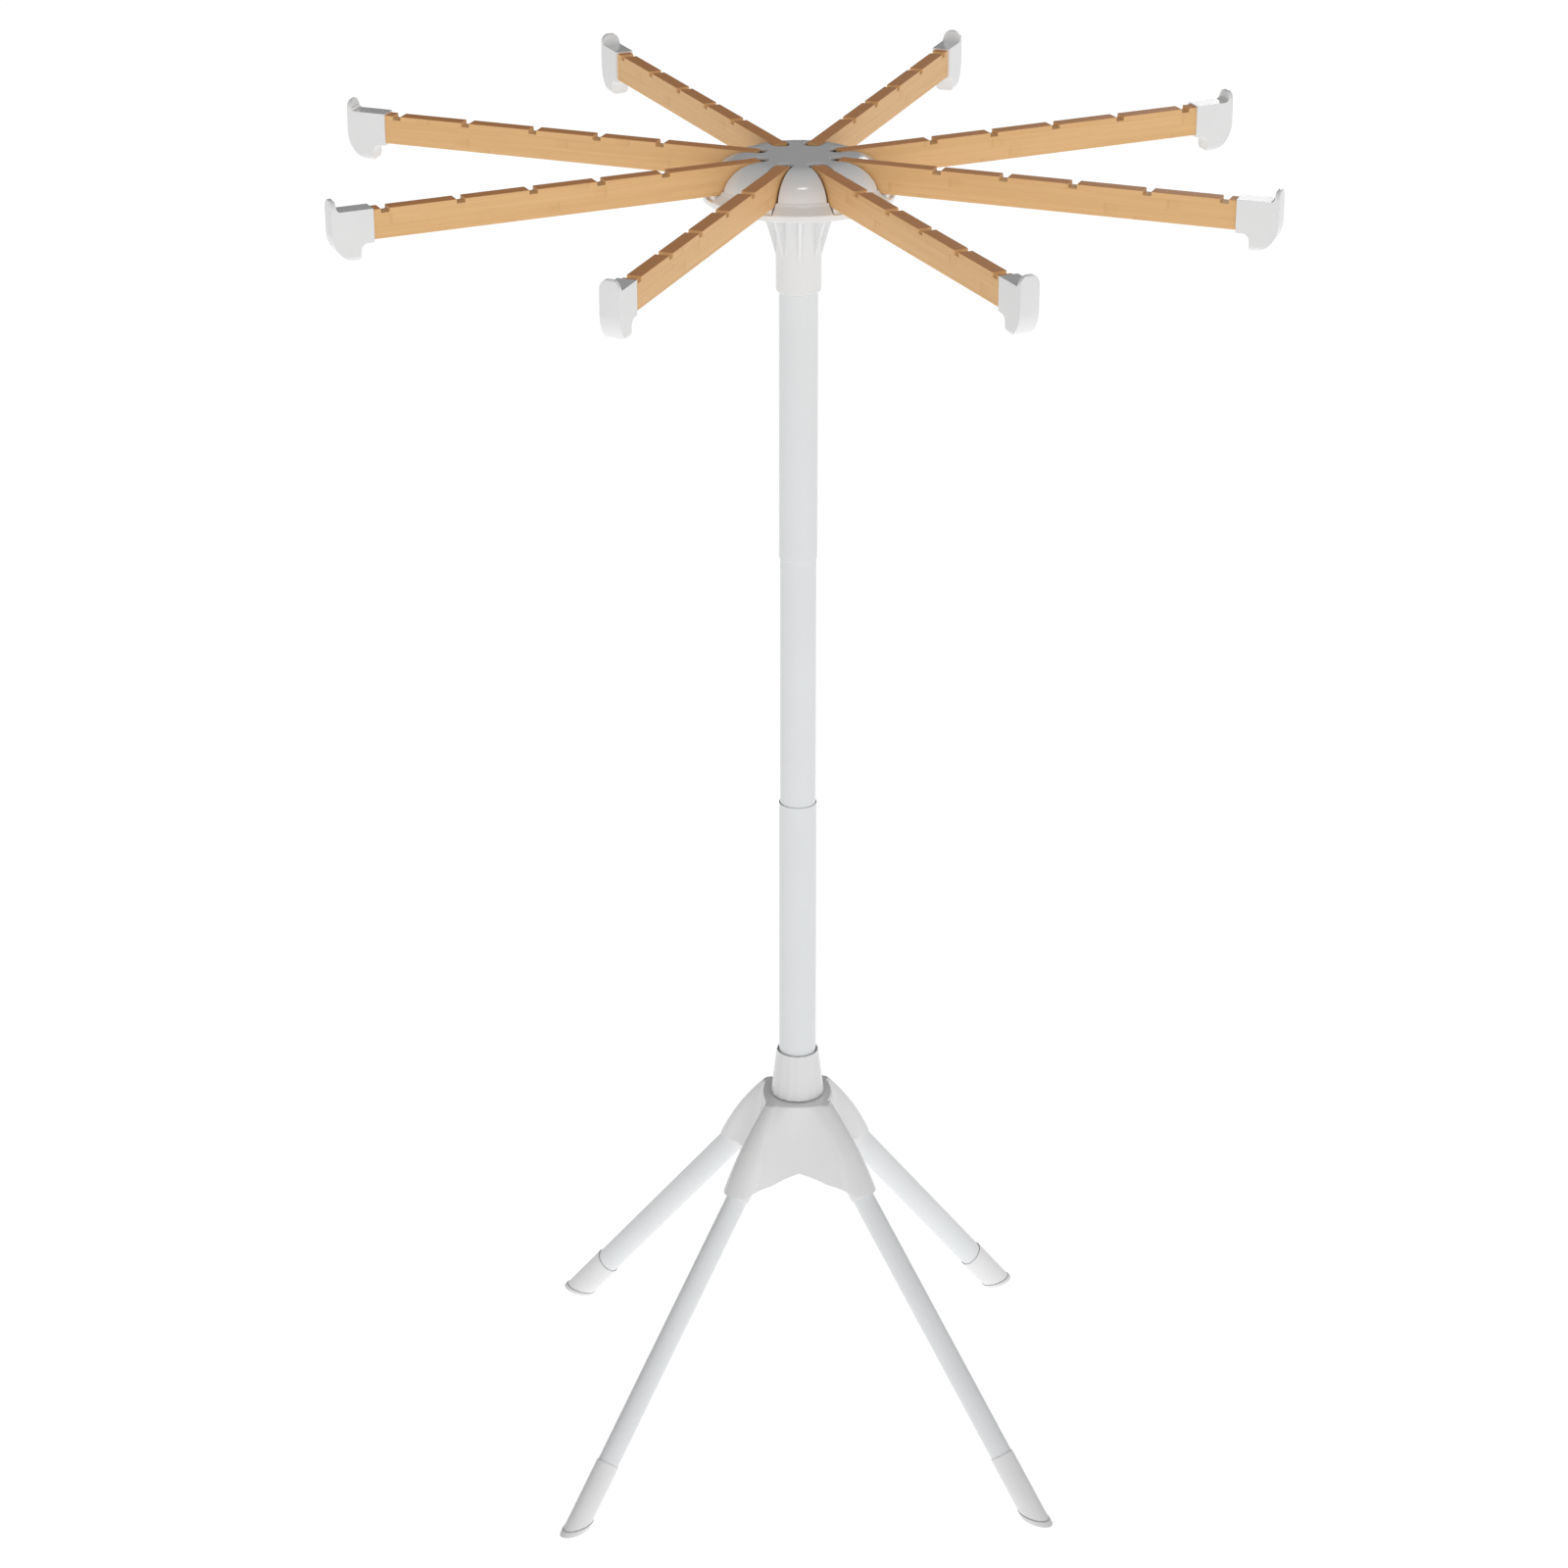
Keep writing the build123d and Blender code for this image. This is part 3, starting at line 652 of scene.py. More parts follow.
    def softened(self, width: float, segments: int = 2, above: float = 35.0) -> "Form":
        """Round the edges that turn by more than an angle.

        Args:
            width: How far the rounding reaches each side of an edge.
            segments: How many faces make it.
            above: The angle in degrees.

        Returns:
            This shape, rounded.
        """
        limit = math.radians(above)
        edges = [edge for edge in self.bm.edges if edge.is_manifold and edge.calc_face_angle(0) > limit]
        bmesh.ops.bevel(
            self.bm, geom=edges, offset=width, segments=segments, profile=0.5, affect="EDGES",
            material=-1, clamp_overlap=True)
        return self

    def piece(self, name: str, body: str, coat: Coat, replaces: Sequence[str], crease: float = 32.0,
              grain_shift: float | None = None, place: Matrix | None = None) -> bpy.types.Object:
        """Finish the shape as a piece of the airer.

        Args:
            name: The piece's name.
            body: The body that it rides on.
            coat: Its finish.
            replaces: The frame's nodes that it stands for.
            crease: The angle in degrees above which an edge stays sharp.
            grain_shift: For wood, where its pattern starts along its length.
            place: A last move to its place, after the grain has been laid.

        Returns:
            The finished object.
        """
        made = self.to_object()
        made.name = made.data.name = name
        mesh = made.data
        if grain_shift is not None:
            grain = mesh.attributes.new("grain", "FLOAT_VECTOR", "POINT")
            for item, vert in zip(grain.data, mesh.vertices):
                item.vector = vert.co + Vector((grain_shift, 0, 0))
        if place is not None:
            mesh.transform(place)
        mesh.shade_smooth()
        mesh.set_sharp_from_angle(angle=math.radians(crease))
        mesh.materials.append(coat.material)
        weighted = made.modifiers.new("even_shading", "WEIGHTED_NORMAL")
        weighted.keep_sharp = True
        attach(made, body)
        if replaces:
            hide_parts(*replaces)
        log.info("%s: %d faces on %s", name, len(mesh.polygons), body)
        return made


# ---- pole

@dataclass
class Pole:
    """The three steel tubes of the pole, one above the other."""

    finishes: Finishes
    steps: int = 96
    wall: float = 1.0 * MM
    middle_wall: float = 1.2 * MM
    lip: float = 0.7 * MM
    rim_gap: float = 0.6 * MM
    rim_depth: float = 6.0 * MM

    def tube(self, name: str, wall: float, top_gap: float) -> None:
        """Build one tube with rolled lips.

        Args:
            name: Which tube of the pole it is.
            wall: The thickness of its wall.
            top_gap: How much wider its bore is at the top.
        """
        node = f"{name}_tube"
        low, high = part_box(node)
        outer = (high.x - low.x) / 2
        inner = outer - wall
        corners = [(inner, low.z, 0.2 * MM), (outer, low.z, min(self.lip, wall * 0.7)),
                   (outer, high.z, 0.35 * MM)]
        if top_gap:
            mouth, floor = inner + top_gap, high.z - self.rim_depth
            corners += [(mouth, high.z, 0), (mouth, floor, 0), (inner, floor, 0)]
        else:
            corners += [(inner, high.z, 0.2 * MM)]
        form = Form.spun(outline(corners, 4), self.steps)
        form.piece(f"{name}_pole", "stand", self.finishes.steel, [node])

    def build(self) -> None:
        """Build the three tubes."""
        self.tube("lower", self.wall, self.rim_gap)
        self.tube("middle", self.middle_wall, 0.0)
        self.tube("upper", self.wall, 0.0)


# ---- arms

@dataclass
class Arm:
    """One bamboo arm with its notches and its moulded cap."""

    finishes: Finishes
    number: int
    inner_r: float = 41.5 * MM
    outer_r: float = 452.0 * MM
    thickness: float = 14.0 * MM
    edge: float = 0.7 * MM
    notches: tuple[float, ...] = (139 * MM, 204 * MM, 271 * MM, 342 * MM, 415 * MM)
    notch_width: float = 8.0 * MM
    notch_depth: float = 4.0 * MM
    pin_hole: float = 6.2 * MM
    cap_width: float = 18.4 * MM
    cap_inner_r: float = 427.0 * MM
    cap_outer_r: float = 467.0 * MM
    cap_roof: float = 1.5 * MM
    cap_floor: float = 1.9 * MM
    cap_tab: float = 12.3 * MM
    cap_tab_thickness: float = 5.0 * MM
    cap_toe: float = 46.0 * MM
    cap_toe_r: float = 440.0 * MM
    cap_nose: float = 19.0 * MM
    cap_edge: float = 0.9 * MM
    nose_steps: int = 9

    def __post_init__(self) -> None:
        """Take the arm's place from the frame."""
        low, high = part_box(f"arm_{self.number}")
        self.top, self.bottom = high.z, low.z
        pivot = joint_place(f"arm_{self.number}_fold")
        self.pivot = Vector((pivot.xy.length, 0, pivot.z))
        self.place = about_pole(math.atan2(pivot.y, pivot.x))

    def plank(self) -> Form:
        """The notched bamboo plank, lying along X."""
        points = [(self.inner_r, self.bottom), (self.inner_r, self.top)]
        for radius in self.notches:
            start, end = radius - self.notch_width / 2, radius + self.notch_width / 2
            floor = self.top - self.notch_depth
            points += [(start, self.top), (start, floor), (end, floor), (end, self.top)]
        points += [(self.outer_r, self.top), (self.outer_r, self.bottom)]
        hole = Form.pin(self.pin_hole, self.thickness).moved(Matrix.Translation(self.pivot))
        return Form.slab(points, self.thickness).softened(self.edge).joined(hole, Join.CUT)

    def cap_side(self) -> list[Point]:
        """The side outline of the cap: sleeve, upstanding tab and hooked toe."""
        roof, floor = self.top + self.cap_roof, self.bottom - self.cap_floor
        toe, nose = self.top - self.cap_toe, self.top - self.cap_nose
        tab_foot, tab_top = self.cap_outer_r - self.cap_tab_thickness, self.top + self.cap_tab
        upper = outline([
            (self.cap_toe_r, floor, 7 * MM), (self.cap_inner_r, floor, 0), (self.cap_inner_r, roof, 0),
            (tab_foot, roof, 4 * MM), (tab_foot + 0.6 * MM, tab_top, 1.9 * MM),
            (self.cap_outer_r - 0.4 * MM, tab_top, 2.2 * MM), (self.cap_outer_r, roof, 0),
            (self.cap_outer_r, nose, 0), (self.cap_toe_r, toe, 0)])[:-1]
        toe_end = self.cap_toe_r + 3 * MM
        for k in range(1, self.nose_steps + 1):
            angle = math.pi / 2 * k / self.nose_steps
            across = (self.cap_outer_r - toe_end) * math.cos(angle)
            upper.append((toe_end + across, nose - (nose - toe) * math.sin(angle)))
        return upper + [(self.cap_toe_r + 0.8 * MM, toe + 0.3 * MM), (self.cap_toe_r, toe + 1.3 * MM)]

    def cap(self) -> Form:
        """The moulded cap, in its place along X."""
        low, high = self.top - self.cap_toe - 0.2 * MM, self.top + self.cap_tab + 0.2 * MM
        half = self.cap_width / 2
        end = outline([(-half, low, 6 * MM), (half, low, 6 * MM), (half, high, half * 0.98),
                       (-half, high, half * 0.98)], 9)
        to_tip = Matrix.Translation((self.cap_outer_r, 0, 0)) @ about_pole(math.pi / 2)
        tombstone = Form.slab(end, ROOMY).moved(to_tip)
        half_core = self.thickness / 2
        core = Form.block(Vector((self.cap_inner_r - 0.01, -half_core, self.bottom)),
                          Vector((self.outer_r, half_core, self.top)))
        body = Form.slab(self.cap_side(), self.cap_width)
        body.joined(tombstone, Join.KEEP).joined(core, Join.CUT)
        return body.softened(self.cap_edge, 3, 30)

    def build(self) -> None:
        """Build the plank and its cap."""
        number, body, place = self.number, f"arm_{self.number}", self.place
        self.plank().piece(f"plank_{number}", body, self.finishes.bamboo, [body], 32, number, place)
        node = f"arm_cap_{number}"
        self.cap().piece(f"end_cap_{number}", body, self.finishes.moulding, [node], 40, None, place)


# ---- turning hub

@dataclass
class Hub:
    """The domed cover with its eight petals, over the flanged hub with its ribbed socket."""

    finishes: Finishes
    plate_r: float = 46.0 * MM
    dome_r: float = 83.0 * MM
    dome_drop: float = 29.0 * MM
    wall: float = 3.0 * MM
    slot_width: float = 15.2 * MM
    petal_gap: float = 18.4 * MM
    slot_centre_r: float = 41.0 * MM
    petal_edge: float = 1.3 * MM
    flange_r: float = 93.0 * MM
    flange_lip: float = 6.0 * MM
    flange_root: float = 11.5 * MM
    skirt_height: float = 9.5 * MM
    carrier_r: float = 68.0 * MM
    socket_bore: float = 20.5 * MM
    socket_r: float = 22.0 * MM
    spindle_hole: float = 6.08 * MM
    rib_foot: float = 60.0 * MM
    rib_head_r: float = 39.0 * MM
    rib_thickness: float = 3.0 * MM
    rest_start: float = 73.5 * MM
    rest_end: float = 90.0 * MM
    rest_width: float = 12.0 * MM
    steps: int = 128

    def __post_init__(self) -> None:
        """Take the hub's heights from the frame."""
        dome_low, dome_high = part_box("hub_dome")
        body_low, body_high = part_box("hub_body")
        self.top, self.dome_bottom = dome_high.z, dome_low.z
        self.socket_bottom, self.carrier_top = body_low.z, body_high.z
        self.flange_top = self.dome_bottom
        arm = joint_place("arm_1_fold")
        self.arm_angle = math.atan2(arm.y, arm.x)
        self.arm_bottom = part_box("arm_1")[0].z

    def petal_rows(self) -> list[tuple[float, float, float]]:
        """Radius, half the slot's angle and height of each row of a petal, from the middle out."""
        half = self.petal_gap / 2
        rows = [(share * (self.slot_centre_r - half), 0.0, self.top) for share in (0.0, 0.5, 0.85)]
        for k in range(8):
            angle = math.pi - math.pi / 2 * k / 7
            x, y = self.slot_centre_r + half * math.cos(angle), half * math.sin(angle)
            rows.append((math.hypot(x, y), math.atan2(y, x), self.top))
        curve = 14
        for k in range(curve + 1):
            angle = math.pi / 2 * k / curve
            radius = self.plate_r + (self.dome_r - self.plate_r) * math.sin(angle)
            drop = self.dome_drop * (1 - math.cos(angle))
            rows.append((radius, math.asin(half / radius), self.top - drop))
        rows.append((self.dome_r, math.asin(half / self.dome_r), self.dome_bottom))
        return rows

    def dome(self) -> Form:
        """The cover, one petal repeated round the pole."""
        rows = self.petal_rows()
        columns = 12
        half_pitch = math.pi / ARM_COUNT

        def place(column: int, row: int) -> Vector:
            """A point of the petal between two slots."""
            radius, slot, height = rows[row]
            angle = (2 * column / columns - 1) * (half_pitch - slot)
            return Vector((radius * math.cos(angle), radius * math.sin(angle), height))

        petal = Form.sheet(columns, len(rows) - 1, place)
        cover = petal.around(ARM_COUNT, self.arm_angle + half_pitch).tidied().walled(self.wall)
        return cover.softened(self.petal_edge, 3, 50)

    def slots(self, low: float, high: float, start: float, end: float) -> Form:
        """Eight square slots round the pole, for cutting."""
        half = self.slot_width / 2
        slot = Form.block(Vector((start, -half, low)), Vector((end, half, high)))
        return slot.around(ARM_COUNT, self.arm_angle)

    def rib(self) -> Form:
        """One gusset under the flange, with a head that spreads into an arch each side."""
        root = self.flange_top - self.flange_root + 0.8 * MM
        foot = root - self.rib_foot + 9 * MM
        inner = self.socket_r - 0.8 * MM
        side = outline([
            (inner, foot, 0), (self.socket_r + 0.3 * MM, foot, 0),
            (self.socket_r + 7.5 * MM, foot + (root - foot) * 0.5, 60 * MM),
            (self.rib_head_r, root, 0), (inner, root, 0)], 5)
        half, spread, arch = self.rib_thickness / 2, 5 * MM, root - 0.4 * MM
        wide, below, above = half + spread + 2 * MM, foot - 10 * MM, root + 10 * MM
        front = outline([
            (-half, below, 0), (half, below, 0), (half, arch, spread), (wide, arch, 0),
            (wide, above, 0), (-wide, above, 0), (-wide, arch, 0), (-half, arch, spread)], 5)
        gusset = Form.slab(side, 0.03)
        return gusset.joined(Form.slab(front, ROOMY).moved(about_pole(math.pi / 2)), Join.KEEP)

    def body(self) -> Form:
        """The flange, socket, ribs and slotted carrier in one moulding."""
        root, lip = self.flange_top - self.flange_root, self.flange_top - self.flange_lip
        well, floor, roof = self.socket_bore * 0.68, self.flange_top + 6 * MM, self.flange_top - 9 * MM
        profile = outline([
            (self.socket_bore, self.socket_bottom, 0.4 * MM), (self.socket_r, self.socket_bottom, 1.1 * MM),
            (self.socket_r, root, 2 * MM), (self.socket_r * 2, root, 12 * MM),
            (self.flange_r - 1 * MM, lip, 1.4 * MM), (self.flange_r, self.flange_top, 0.6 * MM),
            (self.carrier_r, self.flange_top, 0), (self.carrier_r, self.carrier_top - 6 * MM, 2 * MM),
            (self.carrier_r - 8 * MM, self.carrier_top, 1 * MM), (well, self.carrier_top, 0),
            (well, floor, 0), (self.spindle_hole, floor, 0), (self.spindle_hole, roof, 0),
            (self.socket_bore, roof, 0)], 5)
        body = Form.spun(profile, self.steps)
        body.joined(self.rib().around(ARM_COUNT, self.arm_angle + math.pi / ARM_COUNT), Join.ADD)
        inner = self.slot_centre_r - self.slot_width / 2
        slots = self.slots(self.flange_top - 2.5 * MM, self.carrier_top + 1 * MM, inner, self.carrier_r)
        body.joined(slots, Join.CUT).joined(self.skirt(), Join.ADD)
        return body.joined(self.rests(), Join.ADD)

    def rests(self) -> Form:
        """The eight pads on the flange that the open arms lie on."""
        half = self.rest_width / 2
        rest = Form.block(Vector((self.rest_start, -half, self.flange_top - 1 * MM)),
                          Vector((self.rest_end, half, self.arm_bottom - 0.3 * MM)))
        return rest.softened(0.8 * MM).around(ARM_COUNT, self.arm_angle)

    def skirt(self) -> Form:
        """The steep skirt from the petals' feet out to the flange's edge, cut by the arms' slots."""
        low, high = self.flange_top - 1 * MM, self.flange_top + self.skirt_height
        inner, outer = self.dome_r - 0.4 * MM, self.flange_r - 0.2 * MM
        ring = Form.spun(outline([
            (inner, low, 0), (outer, low, 0), (outer, self.flange_top + 0.5 * MM, 1.2 * MM),
            (self.dome_r + 1.6 * MM, high - 2.5 * MM, 8 * MM), (self.dome_r, high, 0),
            (inner, high, 0)]), self.steps)
        slots = self.slots(low - 1 * MM, high + 1 * MM, self.carrier_r, 1.2 * self.flange_r)
        return ring.joined(slots, Join.CUT)

    def build(self) -> None:
        """Build the cover and the hub under it."""
        white = self.finishes.moulding
        self.dome().piece("petal_cover", "hub", white, ["hub_dome"], 40)
        self.body().piece("flanged_hub", "hub", white, ["hub_body"], 30)


# ---- base

@dataclass
class Base:
    """The four-pointed base moulding and the faceted collar above it."""

    finishes: Finishes
    tips: tuple[float, ...] = (45 * MM, 67.5 * MM, 88 * MM, 105 * MM)
    half_widths: tuple[float, ...] = (7 * MM, 10.5 * MM, 13.5 * MM, 16 * MM)
    webs: tuple[float, ...] = (36 * MM, 37.5 * MM, 41 * MM, 47.5 * MM)
    levels: tuple[float, ...] = (0.0, 25 * MM, 53 * MM, 82.5 * MM)
    peak: float = 9.0 * MM
    peak_share: float = 0.36
    wall: float = 2.2 * MM
    bore: float = 20.7 * MM
    shoulder: float = 3.0 * MM
    tip_steps: int = 10
    web_steps: int = 26
    rows: int = 14
    collar_sides: int = 16
    collar_top_r: float = 21.6 * MM
    collar_bottom_r: float = 27.4 * MM
    collar_lip: float = 0.9 * MM

    def __post_init__(self) -> None:
        """Take the base's place from the frame."""
        self.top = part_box("base_hub")[1].z
        leg = joint_place("leg_1_fold")
        self.leg_angle = math.atan2(leg.y, leg.x)

    def at_depth(self, values: Sequence[float], depth: float) -> float:
        """A section's size at a depth below the top, on a smooth curve through the given ones."""
        total = 0.0
        for i, value in enumerate(values):
            share = value
            for j, level in enumerate(self.levels):
                if j != i:
                    share *= (depth - level) / (self.levels[i] - level)
            total += share
        return total

    def section(self, index: int, depth: float) -> Vector:
        """A point of the outline at a depth, by its number round the shell.

        Args:
            index: The point's number, from the middle of one tip to the middle of the next.
            depth: How far below the top the section lies.

        Returns:
            The point, at no height.
        """
        tip, half = self.at_depth(self.tips, depth), self.at_depth(self.half_widths, depth)
        web = self.at_depth(self.webs, depth)
        quarter_steps = self.tip_steps + self.web_steps
        quarter, step = divmod(index, quarter_steps)
        quarter_turn = math.tau / LEG_COUNT
        half_tip = self.tip_steps // 2
        mirrored = step > quarter_steps / 2
        if mirrored:
            step = quarter_steps - step
        diagonal = Vector((math.cos(quarter_turn / 2), math.sin(quarter_turn / 2), 0))
        if step <= half_tip:
            angle = math.pi / 2 * step / half_tip
            point = Vector((tip - half + half * math.cos(angle), half * math.sin(angle), 0))
        else:
            start, middle = Vector((tip - half, half, 0)), diagonal * web
            chord = start - diagonal * start.dot(diagonal)
            sag = start.dot(diagonal) - web
            radius = (chord.length_squared + sag * sag) / (2 * sag)
            centre = diagonal * (web + radius)
            reach = math.asin(min(1.0, chord.length / abs(radius)))
            if abs(sag) > abs(radius):
                reach = math.pi - reach
            angle = reach * (1 - (step - half_tip) / (self.web_steps / 2))
            across = chord.normalized() * abs(radius)
            point = centre + (middle - centre) * math.cos(angle) + across * math.sin(angle)
        if mirrored:
            point = 2 * diagonal * point.dot(diagonal) - point
        return about_pole(self.leg_angle + quarter_turn * quarter) @ point

    def shell(self) -> Form:
        """The base moulding: a flat top round the pole, four ridges, and hollow webs between them."""
        quarter_steps = self.tip_steps + self.web_steps
        depth = self.levels[-1]

        def place(column: int, row: int) -> Vector:
            """A point of the shell, from the bore out over the top and down to the rim."""
            edge = self.section(column, 0)
            if row == 0:
                return Vector((*(edge.normalized() * self.bore).xy, self.top))
            if row == 1:
                return Vector((*edge.xy, self.top))
            step = column % quarter_steps
            off_web = abs(step - quarter_steps / 2) / (quarter_steps / 2)
            rim = depth - self.peak * max(0.0, 1 - off_web / self.peak_share)
            fall = rim * (row - 1) / self.rows
            return Vector((*self.section(column, fall).xy, self.top - fall))

        shell = Form.sheet(LEG_COUNT * quarter_steps, self.rows + 1, place).tidied()
        return shell.softened(self.shoulder, 4, 30).walled(self.wall).softened(0.6 * MM, 2, 50)

    def collar(self) -> Form:
        """The sixteen-sided collar, with a funnelled mouth round the pole."""
        low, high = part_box("collar_nut")
        mouth = self.collar_top_r - self.collar_lip
        profile = [
            (self.collar_bottom_r - 3 * MM, low.z), (self.collar_bottom_r, low.z),
            (self.collar_top_r, high.z), (mouth, high.z), (mouth - 1.1 * MM, high.z - 6 * MM),
            (self.bore + 0.4 * MM, high.z - 9 * MM)]
        collar = Form.spun(profile, self.collar_sides, -math.pi / 2)
        return collar.softened(0.45 * MM, 2, 15)

    def build(self) -> None:
        """Build the shell and its collar."""
        white = self.finishes.moulding
        self.shell().piece("base_shell", "stand", white, ["base_hub"], 45)
        self.collar().piece("clamp_collar", "collar", white, ["collar_nut"], 25)


# ---- legs

@dataclass
class Leg:
    """One oval leg: knuckle, tube, boot and sole."""

    finishes: Finishes
    number: int
    long: float = 27.0 * MM
    short: float = 19.0 * MM
    wall: float = 1.2 * MM
    knuckle_skin: float = 1.3 * MM
    knuckle_start: float = 21.0 * MM
    knuckle_end: float = 47.0 * MM
    tube_start: float = 25.0 * MM
    tube_foot: float = 16.0 * MM
    tongue: float = 10.4 * MM
    tongue_r: float = 8.5 * MM
    pin_hole: float = 6.2 * MM
    boot_skin: float = 1.0 * MM
    boot_top: float = 57.0 * MM
    boot_gap: float = 0.6 * MM
    sole_overhang: float = 0.9 * MM
    steps: int = 64

    def __post_init__(self) -> None:
        """Take the leg's place and lean from the frame."""
        pivot = joint_place(f"leg_{self.number}_fold")
        low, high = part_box(f"foot_pad_{self.number}")
        self.sole_top = high.z
        foot = (low + high) / 2
        self.angle = math.atan2(pivot.y, pivot.x)
        self.pivot = Vector((pivot.xy.length, 0, pivot.z))
        run, fall = foot.xy.length - self.pivot.x, self.pivot.z - foot.z
        self.lean = math.atan2(run, fall)
        self.length = math.hypot(run, fall)
        self.foot_r = self.pivot.x + self.pivot.z * math.tan(self.lean)

    def on_leg(self) -> Matrix:
        """From the leg's own axes, with Z down the leg from its pivot, to its place along X."""
        return Matrix.Translation(self.pivot) @ Matrix.Rotation(math.pi - self.lean, 4, "Y")

    def along(self, height: float) -> float:
        """The distance down the leg at which its axis comes to a height."""
        return (self.pivot.z - height) / math.cos(self.lean)

    def tube(self) -> Form:
        """The steel tube, cut level inside the boot."""
        end = self.along(0) + 20 * MM
        tube = Form.bar(self.long, self.short, self.tube_start, end, self.steps)
        tube.joined(Form.bar(self.long - 2 * self.wall, self.short - 2 * self.wall,
                             self.tube_start - 1 * MM, end + 1 * MM, self.steps), Join.CUT)
        tube.moved(self.on_leg())
        block = Form.block(Vector((0, -ROOMY, -ROOMY)), Vector((4 * ROOMY, ROOMY, self.tube_foot)))
        return tube.joined(block, Join.CUT)

    def knuckle(self) -> Form:
        """The moulded socket on the pin, with a round-nosed tongue."""
        skin = 2 * self.knuckle_skin
        long, short = self.long + skin, self.short + skin
        sleeve = Form.bar(long, short, self.knuckle_start, self.knuckle_end, self.steps)
        sleeve.softened(1.1 * MM, 3)
        reach, side, nose = self.knuckle_start + 3 * MM, self.tongue_r, self.tongue_r * 0.97
        corners = [(-side, -side, nose), (side, -side, nose), (side, reach, 0), (-side, reach, 0)]
        tongue = Form.slab(outline(corners, 10), self.tongue).softened(0.5 * MM)
        sleeve.joined(tongue, Join.ADD).joined(Form.pin(self.pin_hole, self.long), Join.CUT)
        bore = Form.bar(self.long, self.short, self.tube_start, self.knuckle_end + 1 * MM, self.steps)
        return sleeve.joined(bore, Join.CUT).moved(self.on_leg())

    def boot(self) -> Form:
        """The moulded boot over the foot of the tube, cut level just above the sole."""
        skin = 2 * self.boot_skin
        start, end = self.along(self.boot_top), self.along(0) + 30 * MM
        boot = Form.bar(self.long + skin, self.short + skin, start, end, self.steps)
        boot.softened(0.45 * MM, 2).moved(self.on_leg()).below_cut(self.sole_top)
        bore = Form.bar(self.long, self.short, 0, end, self.steps)
        bore.moved(self.on_leg()).below_cut(self.tube_foot)
        gap = 2 * self.boot_gap
        mouth = Form.bar(self.long + gap, self.short + gap, start - 1 * MM, start + 1.5 * MM, self.steps)
        boot.joined(bore, Join.CUT).joined(mouth.moved(self.on_leg()), Join.CUT)
        return boot.softened(0.15 * MM, 1, 45)

    def sole(self) -> Form:
        """The sole, level with the floor and a little proud of the boot, with a recessed neck."""
        skin, lip, seam, inset = 2 * self.boot_skin, 2 * self.sole_overhang, 0.7 * MM, 6 * MM
        long, short = (self.long + skin) / math.cos(self.lean) + lip, self.short + skin + lip
        shear = Matrix.Identity(4)
        shear[0][2] = -math.tan(self.lean)
        top = self.sole_top
        sole = Form.bar(long, short, 0, top - seam, self.steps).softened(0.6 * MM, 3)
        neck = Form.bar(long - inset, short - inset, top - 2 * seam, top, self.steps)
        return sole.joined(neck, Join.ADD).moved(Matrix.Translation((self.foot_r, 0, 0)) @ shear)

    def build(self) -> None:
        """Build the leg's four pieces."""
        number, body, place = self.number, f"leg_{self.number}", about_pole(self.angle)
        made = (
            (self.knuckle(), "knuckle", self.finishes.moulding, "leg_socket"),
            (self.tube(), "leg_pole", self.finishes.steel, "leg_tube"),
            (self.boot(), "boot", self.finishes.moulding, "foot_sleeve"),
            (self.sole(), "sole", self.finishes.sole, "foot_pad"))
        for form, name, coat, node in made:
            form.piece(f"{name}_{number}", body, coat, [f"{node}_{number}"], 32, None, place)


# ---- kept pieces

@dataclass
class KeptPieces:
    """The frame's own small pieces, which keep their shape and get a finish."""

    finishes: Finishes

    def build(self) -> None:
        """Dress every piece of the frame that is still shown."""
        inner = {"base_core", "pole_bottom_plug", "pole_collet", "pole_top_plug", "hub_bush"}
        for name, node in frame["nodes"].items():
            if node.hide_render:
                continue
            coat = self.finishes.inner if name in inner else self.finishes.fixings
            node.data.materials.clear()
            node.data.materials.append(coat.material)
            log.info("%s keeps its shape, in %s", name, coat.material.name)


# ---- studio

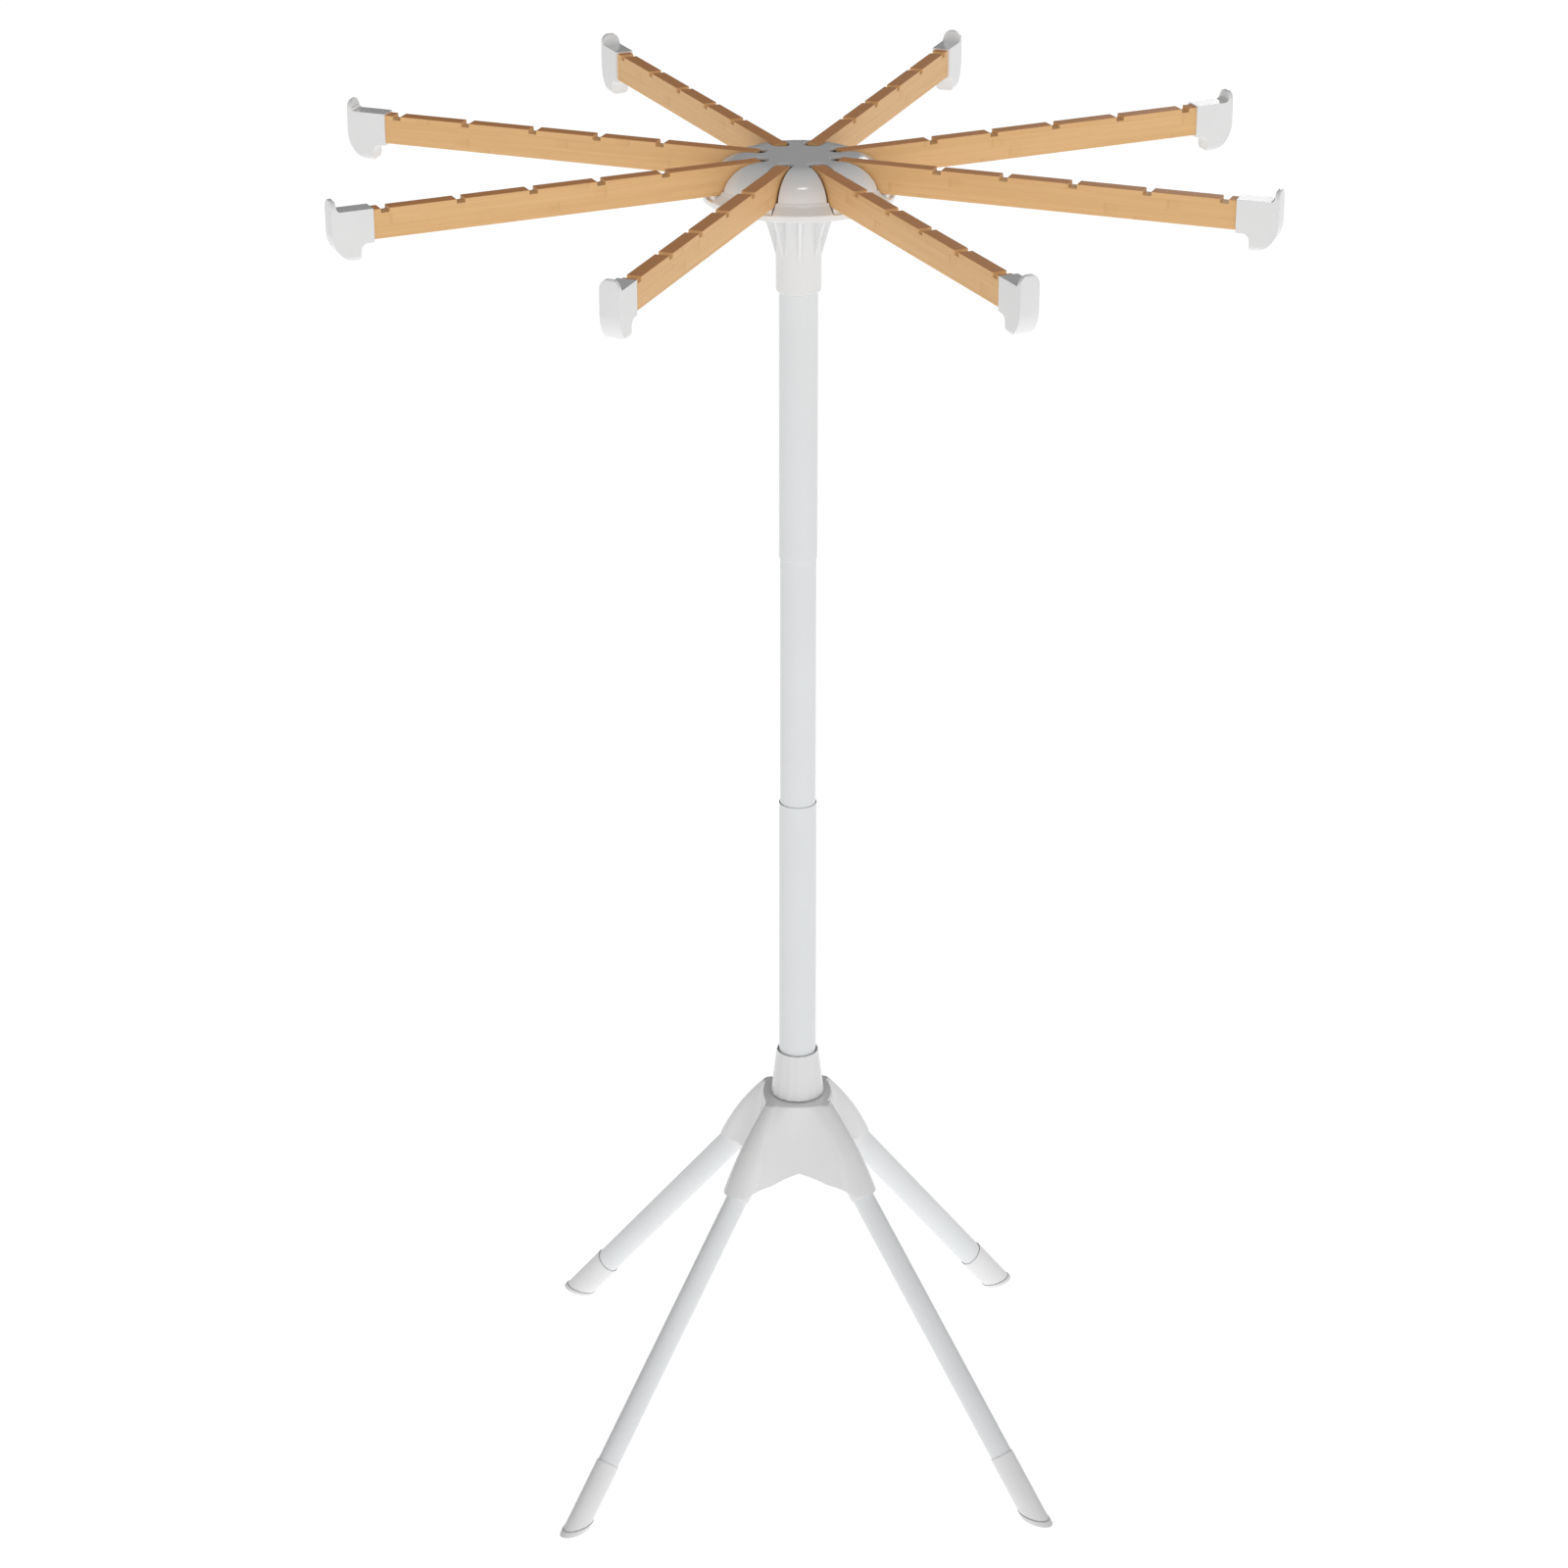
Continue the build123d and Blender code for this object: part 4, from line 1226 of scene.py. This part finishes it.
@dataclass
class Studio:
    """A pale floor, soft light that is strongest from the front, two lamps and the camera."""

    floor_size: float = 60.0
    floor_colour: float = 0.30
    floor_glow: float = 0.93
    low_light: float = 0.50
    high_light: float = 0.05
    fall_start: float = 0.55
    fall_end: float = 1.40
    gain: tuple[float, float] = (0.26, -0.92)
    lens: float = 94.517
    distance: float = 4.1484
    azimuth: float = 2.191
    elevation: float = 24.122
    aim_shift: tuple[float, float, float] = (-0.014, 0.0, 0.0325)

    def floor(self) -> None:
        """A wide floor that is lit, and glows a little to stay pale."""
        form = Form()
        bmesh.ops.create_grid(form.bm, x_segments=8, y_segments=8, size=self.floor_size / 2)
        made = form.to_object()
        made.name = "studio_floor"
        shader = Shader.named("studio_floor")
        cloud = shader.noise(shader.place(), 0.6, 2)
        made.data.materials.append(shader.surface({
            "Base Color": shader.blend(cloud, grey(self.floor_colour), grey(self.floor_colour * 0.99)),
            "Roughness": 0.9,
            "Specular IOR Level": 0.0,
            "Emission Color": grey(1.0),
            "Emission Strength": self.floor_glow,
        }))

    def sky(self) -> None:
        """The light all round: strongest low down and from the front, a little more from the right."""
        world = bpy.data.worlds.new("studio")
        bpy.context.scene.world = world
        shader = Shader(world)
        x, y, z = shader.parts(shader.node("ShaderNodeTexCoord", {}, {}, "Generated"))
        right, back = self.gain
        strength = shader.fall(z, self.fall_start, self.fall_end, self.low_light, self.high_light)
        strength = strength * (x * right + y * back + 1)
        light = shader.node("ShaderNodeBackground", {}, {"Strength": strength})
        shader.close(light, "ShaderNodeOutputWorld")

    def lamp(self, name: str, azimuth: float, elevation: float, far: float, size: Point, radiance: float,
             card: bool = False) -> None:
        """A flat soft lamp that faces the airer.

        Args:
            name: The lamp's name.
            azimuth: Its direction from the airer, in degrees to the right of the front.
            elevation: Its height above the horizon, in degrees.
            far: Its distance.
            size: Its width and height.
            radiance: How bright its face is.
            card: Whether it only shows as a reflection.
        """
        light = bpy.data.lights.new(name, "AREA")
        light.shape = "RECTANGLE"
        light.size, light.size_y = size
        light.energy = radiance * math.pi * size[0] * size[1]
        lamp = placed(name, light)
        lamp.visible_diffuse = not card
        away = direction(azimuth, elevation)
        lamp.location = self.middle() + away * far
        lamp.rotation_euler = away.to_track_quat("Z", "Y").to_euler()

    def middle(self) -> Vector:
        """The middle of the airer."""
        return (CAD_BOX[0] + CAD_BOX[1]) / 2

    def camera(self) -> None:
        """The camera, looking down on the airer from the front."""
        data = bpy.data.cameras.new("camera")
        data.lens, data.sensor_width, data.clip_end = self.lens, 36.0, 200.0
        made = placed("camera", data)
        tilt, turn = math.radians(self.elevation), math.radians(self.azimuth)
        back = direction(-self.azimuth, self.elevation)
        made.location = self.middle() + Vector(self.aim_shift) + back * self.distance
        made.rotation_euler = (math.pi / 2 - tilt, 0, -turn)
        bpy.context.scene.camera = made

    def build(self) -> None:
        """Set up the floor, the lights and the camera."""
        self.floor()
        self.sky()
        self.lamp("overhead_lamp", 8, 74, 3.0, (0.34, 0.22), 13.0)
        self.lamp("back_right_card", 151, 24, 4.0, (2.1, 1.4), 2.8, True)
        self.camera()
        bpy.context.scene.view_settings.view_transform = "Standard"


def main() -> None:
    """Build the airer, piece by piece, and the studio round it."""
    logging.basicConfig(level=logging.INFO, format="%(name)s: %(message)s")
    finishes = Finishes.made()
    Pole(finishes).build()
    Base(finishes).build()
    for number in range(1, LEG_COUNT + 1):
        Leg(finishes, number).build()
    Hub(finishes).build()
    for number in range(1, ARM_COUNT + 1):
        Arm(finishes, number).build()
    KeptPieces(finishes).build()
    Studio().build()


if __name__ == "__main__":
    main()
